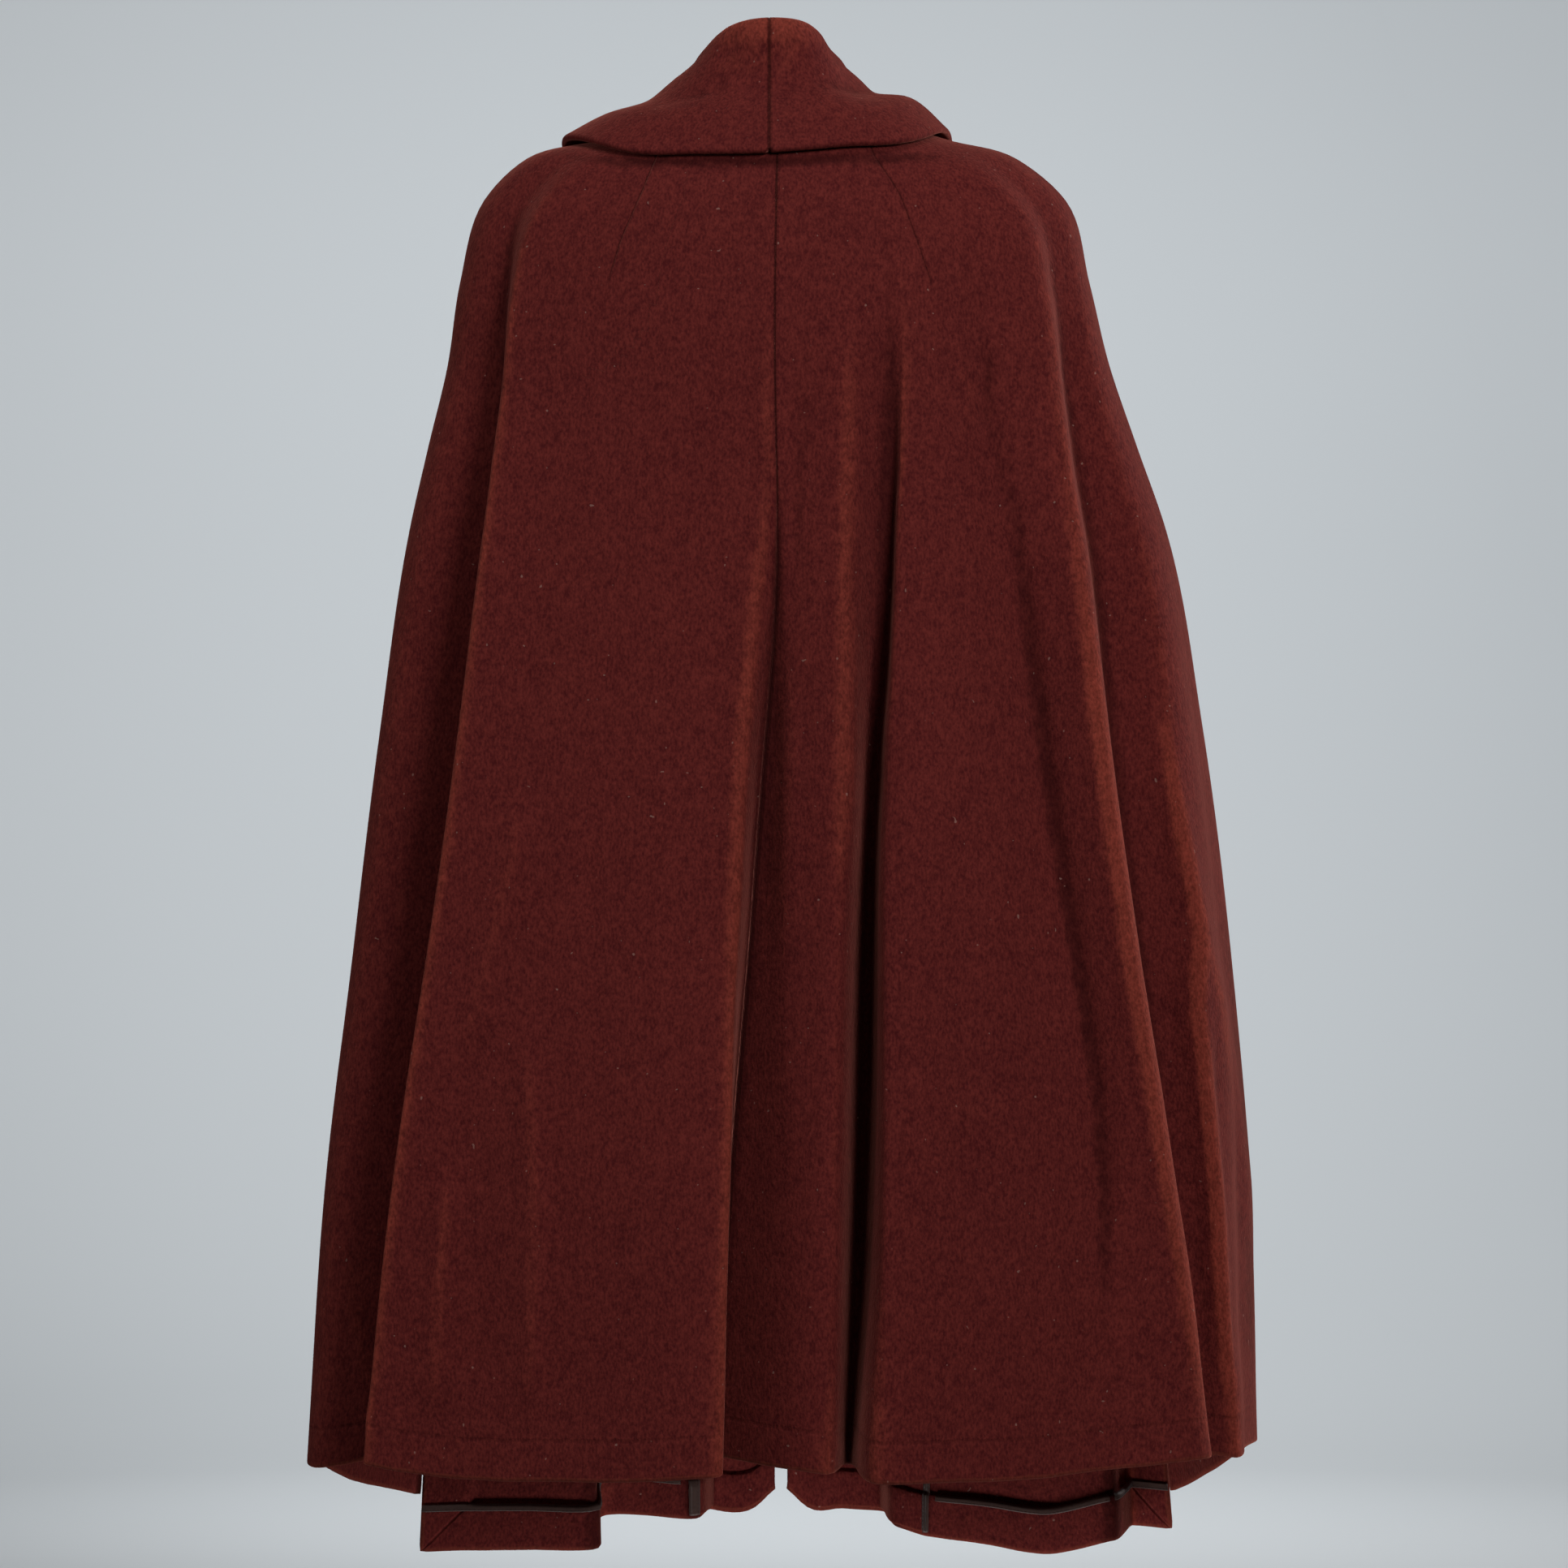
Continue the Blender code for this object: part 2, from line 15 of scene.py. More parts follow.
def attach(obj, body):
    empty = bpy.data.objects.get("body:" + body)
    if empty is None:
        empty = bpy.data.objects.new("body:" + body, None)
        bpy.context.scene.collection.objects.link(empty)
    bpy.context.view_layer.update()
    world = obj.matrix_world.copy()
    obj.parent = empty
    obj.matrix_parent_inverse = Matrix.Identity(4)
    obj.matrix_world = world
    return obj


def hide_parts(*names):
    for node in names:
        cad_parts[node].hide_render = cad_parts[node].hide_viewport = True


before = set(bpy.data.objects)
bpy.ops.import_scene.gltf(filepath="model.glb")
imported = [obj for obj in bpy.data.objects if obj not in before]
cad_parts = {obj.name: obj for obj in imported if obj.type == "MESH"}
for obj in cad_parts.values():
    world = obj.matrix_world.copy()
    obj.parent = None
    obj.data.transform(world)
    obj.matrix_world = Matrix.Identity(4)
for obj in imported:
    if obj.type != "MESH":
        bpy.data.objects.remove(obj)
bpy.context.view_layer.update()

# The camera: level with the middle of the cape, behind the wearer.
CAMERA_PLACE = (-0.00232, 3.2, -0.473)
FRAME_WIDTH = 1.1206  # what the picture is wide and high at the middle of the neck
SENSOR_WIDTH = 36.0

# The cloth.
CLOTH = 0.0022  # one layer of wool
TURNED_CLOTH = 0.0046  # two layers, where an edge is turned in
COLLAR_CLOTH = 0.0052  # two layers and the turned edge between them
SATIN = 0.0010
MITRE = 0.6  # at a bend the wall's own thickness is kept until its half turn has this cosine
LYING_GAP = 0.0003  # between a panel and what is sewn on it
SEAM_ROUND = 0.0007  # how round an edge is where it is sewn to the next piece
ROUND = 1.0  # as round as the thickness lets it be
ROUND_LIMIT = 0.46  # an edge is rounded by at most this share of the thickness there
RIM_TURNS = (30, 60, 90)  # degrees round the rim from either face to its middle
SLIT_TOP = 0.40  # share of the way from neck to hem where the arm slit starts
SLIT_TURN = 0.040  # width of the cloth turned in along the arm slit
SLIT_OPENING = 1.3  # how slowly the slit opens below its top: 1 would be a straight opening
SLIT_EDGE_OWN = 0.15  # this far below the top of the slit each edge turns its own way
SLIT_TURN_STEP = 0.003  # over this width the cloth grows from one layer to two
SLIT_TURN_START = 0.01  # and over this share of the way down below the top of the slit
HEM_TOP = 0.9705  # share of the way down where the turned-up hem starts
HEM_STEP = (-0.0005, 0.0009)  # the cloth grows from one layer to two between these shares beside it
HEM_LIFT_FROM = 0.5  # the hem's rise and fall has died out above this share
HEM_LIFT_POWER = 1.5
BINDING_WIDTH = 0.0048
HEM_BINDING_SHARE = 0.0045  # width of the hem's binding, as a share of the way down
BOUND_EDGE = 0.0032  # the facing and the satin round its edge
FOLD_TOP = 0.08  # above this share the folds have died out
FACING_TOP = 0.045
FACING_BOTTOM = 0.997
FACING_COLUMNS = 40
BINDING_COLUMNS = 5
NARROW_STRIP = (0.02, 6)  # a strip that is shorter than this share gets this many rows
ROW_APART = 0.001  # least share of the way between a strip's end and its next row

COLUMN_WIDTH = 0.005
EVEN_ROWS = 150
NEAR_HEM = (0.962, 0.9662, 0.9688, 0.9699, 0.9709, 0.9722, 0.977, 0.983, 0.989, 0.9952, 1.0)
ROWS = (*(k / EVEN_ROWS for k in range(int(0.958 * EVEN_ROWS) + 1)), *NEAR_HEM)

# One row for each level section of the cape: half widths to the wearer's left and right, depths behind
# and before the neck, and how high the section lies at the sides, the back and the front.
SECTION_COLUMNS = ("name", "left", "right", "back", "front", "side_z", "back_z", "front_z")
SECTIONS = (
    ("neck", 0.072, 0.056, 0.062, 0.068, 0.004, 0.010, -0.038),
    ("under_collar", 0.128, 0.120, 0.091, 0.098, -0.014, -0.032, -0.085),
    ("shoulder", 0.182, 0.170, 0.109, 0.126, -0.028, -0.078, -0.128),
    ("shoulder_point", 0.211, 0.203, 0.117, 0.143, -0.056, -0.115, -0.163),
    ("upper_arm", 0.229, 0.221, 0.126, 0.160, -0.116, -0.171, -0.219),
    ("arm", 0.238, 0.235, 0.131, 0.168, -0.174, -0.225, -0.273),
    ("chest", 0.252, 0.254, 0.136, 0.172, -0.232, -0.281, -0.330),
    ("elbow", 0.265, 0.274, 0.141, 0.177, -0.290, -0.336, -0.386),
    ("waist", 0.287, 0.301, 0.154, 0.192, -0.435, -0.471, -0.524),
    ("hip", 0.308, 0.322, 0.172, 0.212, -0.609, -0.632, -0.689),
    ("thigh", 0.328, 0.336, 0.188, 0.232, -0.783, -0.788, -0.850),
    ("hem", 0.338, 0.342, 0.200, 0.250, -0.955, -0.938, -1.010),
)

# One row for each fold line: its bearing at the five levels, how far it stands out there (minus is a
# valley), how much higher or lower than its section the hem lies on it, and how sharply the cloth turns
# there, from 0, as round as it comes, to 1, a crease.
LEVELS = (0.20, 0.36, 0.52, 0.76, 1.00)
FOLD_COLUMNS = ("name", "bearing", "out", "hem_lift", "sharp")
BACK_FOLDS = (
    ("slit_left", (-44, -43, -41, -39, -37.2), (0, 0, 0.004, 0.006, 0.004), -0.030, 0),
    ("side_front_left", (-24, -24, -23, -22, -20), (0, 0.002, 0.002, 0, -0.004), -0.022, 0),
    ("side_left", (-2, -2, -1, 0, 1), (0, -0.001, -0.002, -0.002, -0.001), -0.002, 0),
    ("side_back_left", (14, 15, 15, 15, 15), (-0.001, -0.002, -0.001, -0.001, 0), 0, 0),
    ("valley_left", (28, 32.5, 34, 33, 31), (-0.013, -0.027, -0.038, -0.047, -0.050), 0.012, 0.2),
    ("ridge_left", (37.4, 41.9, 43.0, 41.0, 39), (0.007, 0.017, 0.025, 0.032, 0.035), 0.012, 0.5),
    ("panel_left_outer", (46, 51, 53, 50, 49), (0.003, 0.008, 0.014, 0.017, 0.018), 0.002, 0),
    ("panel_left_inner", (60, 63, 64, 63, 62), (0, 0.004, 0.007, 0.010, 0.012), -0.001, 0),
    ("ridge_centre", (86, 86.3, 84.6, 84.2, 83.6), (0, 0.003, 0.009, 0.016, 0.020), 0.004, 0.45),
    ("centre_seam", (89, 89.5, 87.5, 84.0, 81.5), (0, -0.002, -0.014, -0.034, -0.042), 0.008, 0.3),
    ("middle", (93.5, 92.5, 92, 91.2, 90), (0, 0.003, -0.002, -0.010, -0.014), 0.004, 0),
    ("middle_ridge", (102, 98.5, 97.6, 96.4, 95.5), (0.001, 0.007, 0.007, 0.001, -0.008), 0.001, 0),
    ("valley_right", (109, 105.2, 102.2, 100.2, 98.2), (-0.002, -0.012, -0.028, -0.040, -0.044), 0.002, 0),
    ("ridge_right_inner", (113, 107.4, 103.4, 101.5, 100), (0.001, 0.005, 0.013, 0.022, 0.027), 0, 0.1),
    ("panel_right", (123, 118, 115, 113, 111.5), (0.001, 0.004, 0.010, 0.016, 0.020), 0, 0),
    ("crease_right", (130, 128, 127.8, 130, 129), (-0.001, -0.004, -0.002, 0.005, 0.012), 0.006, 0.3),
    ("ridge_right", (145.2, 137.6, 135.3, 138.2, 143.8), (0.007, 0.015, 0.022, 0.027, 0.030), 0.016, 0.2),
    ("valley_right_outer", (154, 146.5, 143.5, 145.5, 149), (-0.006, -0.014, -0.019, -0.019, -0.014),
     0.014, 0.1),
    ("pipe_right", (162, 156.5, 153, 152, 152.5), (0, 0.001, 0.006, 0.012, 0.016), 0.012, 0.3),
    ("side_back_right", (173, 171, 169, 167, 165), (0, 0.001, -0.001, -0.003, -0.004), 0.014, 0),
    ("side_right", (184, 184, 182, 181, 180), (0, 0, 0.001, 0.001, -0.001), 0.012, 0),
    ("side_front_right", (204, 204, 203, 201, 198), (0, 0.004, 0.004, 0.001, -0.004), -0.012, 0),
    ("slit_right", (224, 223, 221, 217.5, 213.6), (0, 0, 0.004, 0.009, 0.012), -0.030, 0),
)
FRONT_LEFT_FOLDS = (
    ("front_edge", (-89.2, -89.2, -89.2, -89.2, -89.2), (0, 0, 0, -0.002, -0.005), -0.004, 0),
    ("front_corner", (-86, -86.3, -86.5, -86.6, -86.6), (0, 0, 0, -0.001, -0.003), -0.019, 0),
    ("front_ridge", (-78, -79, -80, -80.5, -80.5), (0, 0.002, 0.002, 0.001, 0), -0.022, 0.5),
    ("front_valley", (-71, -73, -75, -77, -77.5), (0, -0.002, -0.012, -0.030, -0.044), -0.023, 0.3),
    ("front_middle", (-60, -61, -62, -63, -63.5), (0, 0.002, -0.004, -0.018, -0.029), -0.031, 0),
    ("front_fold", (-56, -57, -58, -59.5, -60.5), (0, -0.003, -0.018, -0.046, -0.068), -0.049, 0.5),
    ("front_side", (-50, -50, -50, -50, -50), (0, 0, -0.008, -0.028, -0.044), -0.059, 0),
    ("front_slit", (-44, -43, -41, -39, -36.4), (0, 0, 0, -0.001, -0.002), -0.072, 0),
)
FRONT_RIGHT_FOLDS = (
    ("front_slit", (224, 223, 221, 218, 214.3), (0, 0, 0.002, 0.010, 0.016), -0.058, 0),
    ("front_pipe", (228, 227, 225, 222.5, 220.5), (0, 0.001, 0.002, 0.003, 0.004), -0.052, 0.3),
    ("front_fold", (232, 231, 228, 222, 217.5), (0, -0.003, -0.010, -0.024, -0.036), -0.059, 0.5),
    ("front_side", (237, 236, 234, 230, 228), (0, -0.002, -0.012, -0.034, -0.050), -0.062, 0),
    ("front_middle", (242, 242, 241, 239, 238), (0, -0.001, -0.014, -0.044, -0.068), -0.047, 0),
    ("front_valley", (250, 250, 250, 249, 248), (0, -0.002, -0.016, -0.048, -0.070), -0.035, 0.3),
    ("front_turn", (254, 254, 254, 253, 252), (0, 0.001, -0.012, -0.044, -0.066), -0.028, 0.5),
    ("front_ridge", (258, 258, 257, 256.5, 256), (0, 0.003, 0, -0.006, -0.010), -0.023, 0.5),
    ("front_flat", (263, 263, 263, 262, 262), (0, 0.001, 0.001, 0, 0), -0.021, 0),
    ("front_corner", (266, 266.3, 266.5, 266.6, 266.6), (0, 0, 0, 0, -0.001), -0.019, 0),
    ("front_edge", (269.2, 269.2, 269.2, 269.2, 269.2), (0, 0, 0, -0.001, -0.003), -0.004, 0),
)

# One row for each section of the collar, from the left front round the back to the right front: how far
# from the axis of the neck its roll and its crease lie and how high, how far out its edge rests, and how
# much the fall bows up between crease and edge.
COLLAR_COLUMNS = ("bearing", "roll_r", "roll_z", "crease_r", "crease_z", "edge_r", "bow")
COLLAR = (
    (-88.6, 0.073, -0.016, 0.090, -0.048, 0.148, 0.003),
    (-60, 0.071, -0.008, 0.094, -0.032, 0.152, 0.003),
    (-30, 0.061, 0.014, 0.096, -0.002, 0.154, 0.003),
    (0, 0.050, 0.037, 0.089, 0.010, 0.147, 0.003),
    (30, 0.046, 0.049, 0.078, 0.013, 0.129, 0.003),
    (60, 0.050, 0.059, 0.071, 0.014, 0.105, 0.003),
    (90, 0.055, 0.062, 0.069, 0.014, 0.0985, 0.002),
    (120, 0.050, 0.060, 0.0725, 0.014, 0.105, 0.003),
    (150, 0.043, 0.048, 0.070, 0.015, 0.123, 0.006),
    (180, 0.049, 0.037, 0.074, 0.017, 0.128, 0.009),
    (210, 0.062, 0.012, 0.090, 0.004, 0.144, 0.006),
    (240, 0.071, -0.008, 0.094, -0.030, 0.152, 0.003),
    (268.6, 0.073, -0.016, 0.090, -0.048, 0.148, 0.003),
)
COLLAR_AXIS_X = 0.008
COLLAR_STEP = 1.7  # degrees between two sections of the collar
COLLAR_SPANS = (4, 3, 3, 3, 3, 4, 7, 10)  # steps between each two points of the section
COLLAR_STAND = (0.55, -0.006)  # the stand's middle point: share of the way to the roll, and inwards
COLLAR_ROLL = ((-0.004, -0.004), (0.002, 0.0005), (0.007, -0.006))  # out and up from the roll's place
COLLAR_FULLNESS = 0.001  # the fall lies this far outside a straight line between its points
COLLAR_SLOPE_REACH = 0.002
SHOULDER_READINGS = 120
COLLAR_REST = 0.0024  # the edge of the collar lies this far above the shoulders
NECK_SEAM_RISE = 0.0036

# Two paths that a crease and its painted highlight share.
SIDE_BRANCH = (
    (-0.291, -0.560), (-0.2975, -0.585), (-0.310, -0.631), (-0.319, -0.685), (-0.329, -0.756),
    (-0.333, -0.820),
)
SIDE_PIPE = (
    (-0.262, -0.400), (-0.2665, -0.436), (-0.276, -0.492), (-0.291, -0.573), (-0.2885, -0.631),
    (-0.295, -0.678), (-0.302, -0.756), (-0.304, -0.802), (-0.308, -0.863), (-0.309, -0.925),
)

# One row for each crease: the side it lies on, the points of its path as x and z, how far its middle
# stands out (minus is a trough), and how wide it is to each side.
CREASE_COLUMNS = ("name", "side", "path", "out", "width")
CREASES = (
    ("panel_left_long", "back", ((0.176, -0.473), (0.183, -0.519), (0.203, -0.609), (0.221, -0.670)),
     0.0036, 0.010),
    ("panel_left_low", "back", ((0.225, -0.730), (0.230, -0.799), (0.233, -0.852), (0.237, -0.909)),
     0.0042, 0.009),
    ("panel_left_inner", "back", ((0.172, -0.624), (0.169, -0.684), (0.166, -0.761), (0.169, -0.920)),
     0.0038, 0.010),
    ("panel_left_trough", "back", ((0.200, -0.700), (0.203, -0.780), (0.206, -0.900)), -0.0024, 0.014),
    ("centre_ridge_high", "back",
     ((0.008, -0.120), (0.009, -0.190), (0.007, -0.272), (0.020, -0.354), (0.028, -0.437), (0.032, -0.519),
      (0.034, -0.640)), 0.0036, 0.009),
    ("centre_trough_high", "back",
     ((-0.020, -0.130), (-0.018, -0.190), (-0.013, -0.272), (-0.004, -0.354), (0.005, -0.437),
      (0.010, -0.519), (0.015, -0.620)), -0.0034, 0.010),
    ("middle_ridge_high", "back",
     ((-0.050, -0.130), (-0.047, -0.190), (-0.0445, -0.272), (-0.0435, -0.354), (-0.0445, -0.437),
      (-0.044, -0.560)), 0.0036, 0.009),
    ("valley_right_high", "back",
     ((-0.074, -0.130), (-0.073, -0.190), (-0.072, -0.272), (-0.069, -0.354), (-0.068, -0.450)),
     -0.0026, 0.013),
    ("valley_right_flank", "back",
     ((-0.071, -0.360), (-0.069, -0.437), (-0.067, -0.519), (-0.062, -0.602), (-0.060, -0.684),
      (-0.060, -0.766), (-0.057, -0.849), (-0.055, -0.920)), -0.0036, 0.011),
    ("panel_right_crease", "back",
     ((-0.158, -0.280), (-0.176, -0.413), (-0.188, -0.503), (-0.203, -0.594), (-0.218, -0.685),
      (-0.222, -0.761), (-0.218, -0.870)), -0.0032, 0.008),
    ("rolled_edge_right", "back",
     ((-0.190, -0.220), (-0.199, -0.272), (-0.208, -0.354), (-0.218, -0.437), (-0.229, -0.519),
      (-0.240, -0.602), (-0.254, -0.684), (-0.266, -0.766), (-0.281, -0.849), (-0.291, -0.930)),
     0.0034, 0.0085),
    ("shoulder_crease_right", "back", ((-0.146, -0.165), (-0.1445, -0.200), (-0.142, -0.236)),
     -0.0014, 0.006),
    ("side_branch_right", "back", SIDE_BRANCH, 0.0030, 0.006),
    ("side_pipe_right", "back", SIDE_PIPE, 0.0056, 0.0075),
    ("side_trough_right", "back",
     ((-0.300, -0.630), (-0.3075, -0.700), (-0.315, -0.780), (-0.320, -0.900)), -0.0046, 0.007),
    ("side_low_left", "back", ((0.302, -0.820), (0.293, -0.870), (0.284, -0.925)), 0.0020, 0.007),
    ("chest_left", "front", ((0.120, -0.180), (0.138, -0.330), (0.150, -0.480)), -0.0018, 0.010),
    ("chest_right", "front", ((-0.112, -0.190), (-0.126, -0.320), (-0.134, -0.500)), -0.0020, 0.009),
    ("lap_left", "front", ((0.176, -0.520), (0.184, -0.660), (0.180, -0.840)), 0.0018, 0.010),
    ("lap_right", "front", ((-0.168, -0.560), (-0.180, -0.700), (-0.176, -0.900)), 0.0016, 0.011),
    ("arm_left", "front", ((0.236, -0.230), (0.262, -0.400), (0.280, -0.560)), 0.0014, 0.012),
    ("arm_right", "front", ((-0.240, -0.260), (-0.270, -0.420), (-0.290, -0.600)), 0.0015, 0.011),
)
COLLAR_CREASES = (
    ("roll_pinch_left", "back", ((0.046, 0.034), (0.038, 0.042), (0.030, 0.051)), -0.0016, 0.0045),
    ("fall_crease_left", "back", ((0.102, 0.003), (0.078, 0.008), (0.054, 0.013), (0.034, 0.016)),
     -0.0012, 0.005),
    ("fall_crease_right", "back", ((-0.060, 0.013), (-0.044, 0.018), (-0.020, 0.018)), -0.0014, 0.005),
)
# One row for each size of swell that runs through the cloth.
SWELL_COLUMNS = ("across", "down", "out")  # swells to the metre, and how far they stand out
SWELLS = ((9.0, 2.6, 0.0013), (24.0, 7.0, 0.0005))
SWELL_ROWS = 20  # rows from the top over which the swells grow
HEM_WAVES = ((14.0, 0.0012), (52.0, 0.0004))  # waves to the metre along the hem, and how high
HEM_WAVE_FROM = 0.90
CREASE_FADE = 0.22  # share of its path over which a crease grows at each end

# One row for each place of painted light on the nap beyond what its fold alone gives: painted highlight, or
# painted shade (minus), such as the shadow under the collar's edge:
# the side, the path in x and z, the standing out that it is worth, and the width to each side.
PAINTED_NAP_LIGHT_COLUMNS = ("name", "side", "path", "worth", "width")
PAINTED_NAP_LIGHT = (
    ("ridge_right", "back",
     ((-0.207, -0.330), (-0.220, -0.437), (-0.231, -0.519), (-0.242, -0.602), (-0.256, -0.684),
      (-0.268, -0.766), (-0.2825, -0.849), (-0.2925, -0.930)), 0.0038, 0.005),
    ("pipe_right", "back", SIDE_PIPE, 0.0030, 0.005),
    ("pipe_branch_right", "back", SIDE_BRANCH, 0.0020, 0.0045),
    ("side_right", "back", ((-0.312, -0.520), (-0.328, -0.640), (-0.338, -0.930)), -0.0026, 0.008),
    ("middle_ridge_low", "back",
     ((-0.040, -0.480), (-0.038, -0.602), (-0.032, -0.690), (-0.031, -0.766), (-0.030, -0.940)),
     -0.0022, 0.014),
    ("valley_right_flank", "back",
     ((-0.084, -0.160), (-0.083, -0.272), (-0.080, -0.354), (-0.077, -0.440), (-0.075, -0.600),
      (-0.074, -0.760), (-0.069, -0.940)), -0.0026, 0.013),
    # painted shadow under the collar's edge
    ("under_collar", "back",
     ((0.170, -0.020), (0.148, -0.032), (0.110, -0.039), (0.035, -0.0415), (0.0, -0.0415),
      (-0.055, -0.039), (-0.116, -0.033), (-0.140, -0.026)), -0.0044, 0.004),
    # painted highlight on the collar's stand
    ("collar_stand", "back", ((0.044, 0.020), (0.012, 0.056), (-0.024, 0.030)), 0.0020, 0.026),
)
CREST_REACH = 0.008  # how far off to each side lies the cloth that each point is compared with

# Darts of the back, from under the collar to their point: x and z.
DARTS = {
    "left": ((0.080, -0.012), (0.087, -0.036), (0.0972, -0.063), (0.1113, -0.097), (0.1226, -0.136)),
    "right": ((-0.058, -0.012), (-0.065, -0.035), (-0.0825, -0.063), (-0.0949, -0.098), (-0.109, -0.142)),
}
DART_FAINT = {"left": 2.4, "right": 1.4}  # how many times narrower than a seam each dart shows

# The columns of a table of cloth pieces, which this script does not hold: what shows of its cut, left and
# right, as width and length and as area, how it is held, and what it lies on and carries.
SHEET_COLUMNS = ("name", "flat", "area", "held", "rests_on", "carries")

# Finishes, as linear colours.
WOOL_LIGHT = (0.170, 0.026, 0.022)
WOOL_DARK = (0.080, 0.010, 0.011)
WOOL_EDGE_HIGHLIGHT = (0.230, 0.056, 0.030)  # painted highlight: the nap on free edges, where it catches the light
WOOL_CREST_HIGHLIGHT = (0.330, 0.058, 0.038)  # painted highlight on the folds, where the nap catches the light
WOOL_SHEEN = (1.0, 0.33, 0.25)
LINT_COLOUR = (0.380, 0.220, 0.180)
SATIN_LIGHT = (0.080, 0.042, 0.034)
SATIN_DARK = (0.045, 0.022, 0.018)
THREAD_DARK = (0.030, 0.010, 0.009)
THREAD_LIGHT = (0.078, 0.026, 0.0234)
BACKDROP_LIGHT = (0.640, 0.668, 0.690)
BACKDROP_DARK = (0.6208, 0.64796, 0.6693)

# The shader's settings for each finish, by socket.
WOOL_SURFACE = {
    "Roughness": 0.92,
    "Specular IOR Level": 0.06,
    "Sheen Weight": 0.35,
    "Sheen Roughness": 0.35,
    "Sheen Tint": (*WOOL_SHEEN, 1),
}
SATIN_SURFACE = {"Roughness": 0.45, "Anisotropic": 0.5, "Sheen Weight": 0.15}
THREAD_SURFACE = {"Roughness": 0.55}
BACKDROP_SURFACE = {"Roughness": 1, "Specular IOR Level": 0}

# One row for each size of grain in a finish: grains to the metre, detail, stretch, how much it counts in
# the colour, and how far it stands up.
GRAIN_COLUMNS = ("name", "scale", "detail", "stretch", "colour", "height")
WOOL_GRAINS = (
    ("fibres", 620, 3, (1, 1, 0.55), 2.4, 0.0006),
    ("felt", 190, 2, (1, 1, 0.7), 1.0, 0.0005),
    ("mottle", 42, 2, (1, 1, 1), 0.3, 0.0006),
    ("clouds", 7, 2, (1, 1, 0.5), 0.25, 0),
)
SATIN_GRAINS = (("slubs", 260, 2, (1, 1, 1), 1.1, 0.0002), ("clouds", 40, 1, (1, 1, 1), 0.9, 0))
THREAD_GRAINS = (("twist", 2500, 1, (1, 1, 1), 1.4, 0),)
BACKDROP_GRAINS = (("clouds", 0.8, 1, (1, 1, 1), 0.2, 0),)
MIDDLE_SHADE = 0.5  # where the grains' colour lies between dark and light
SATIN_SHADE = 0.45
SATIN_RIBS = (9000, 0.00003)  # how close the ribs lie, as an angle to the metre, and how high they are

# Painted highlight of the nap on free edges, where it catches the light: fading out between two distances,
# how unevenly, and how much it shows.
EDGE_HIGHLIGHT_REACH = (0.0002, 0.0024)
EDGE_UNEVEN = 0.004
EDGE_HIGHLIGHT_SHARE = 0.3
# Painted highlight on folds, where the nap catches the light, and painted shade in hollows, by how far the
# cloth stands out from the cloth beside it.
CREST_UNEVEN = 0.0024
CREST_HIGHLIGHT_RANGE = (0.0003, 0.0045)  # the painted highlight grows between these two
CREST_HIGHLIGHT_SHARE = 0.8
CREST_SHADE = 0.5  # the darkest of the painted highlight, as a share of its colour
HOLLOW_SHADE_RANGE = (-0.0036, -0.0002)  # painted shade: flat and dark below the first, and less and less up to the second
HOLLOW_SHADE_SHARE = 0.6
HOLLOW_SHADE = 0.3
LINT = (0.352, 0.372)  # only the highest grains of its noise show as lint
LINT_SCALE = 300
LINT_SHARE = 0.45

# Sewn lines: how uneven each is, how far its dark line and its dip reach to each side, and how dark it is.
LINE_COLUMNS = ("uneven", "dark", "dip", "shade")
SEAM_LINE = (0.0006, 0.0012, 0.0028, 0.6)
MITRE_LINE = (0.0004, 0.0010, 0.0024, 0.25)
LINE_CORE = 0.0002  # half the width over which a line is at its darkest and deepest
LINE_SHADE = 0.25  # the colour in a line, as a share of the wool's dark
LINE_DEPTH = 0.0009
DART_FADE = (0.8, 1.0)  # shares of the way down a dart between which its line dies out
MITRE_REACH = (0.031, 0.033)  # how far from the slit's corner the mitre runs
HEM_STITCH_UP = 0.027  # how far above the hem its stitches show
HEM_STITCH_UNEVEN = 0.0016
HEM_STITCH_BAND = (0.0003, 0.0024)
HEM_STITCH_DIP = 0.28
HEM_STITCH_SHADE = 0.35

STITCH_PITCH = 0.0030
STITCH_LENGTH = 0.0021
STITCH_THICKNESS = 0.00042
STITCH_LIFT = 0.1  # how far the middle of a stitch lies off the satin, as a share of its thickness
STITCH_SEGMENTS = 6
STITCH_RINGS = 4


def make_camera():
    data = bpy.data.cameras.new("camera")
    data.sensor_width = SENSOR_WIDTH
    data.lens = SENSOR_WIDTH * CAMERA_PLACE[1] / FRAME_WIDTH
    camera = bpy.data.objects.new("camera", data)
    camera.location = CAMERA_PLACE
    camera.rotation_euler = (math.pi / 2, 0, math.pi)
    bpy.context.scene.collection.objects.link(camera)
    bpy.context.scene.camera = camera


# The form of the cape.


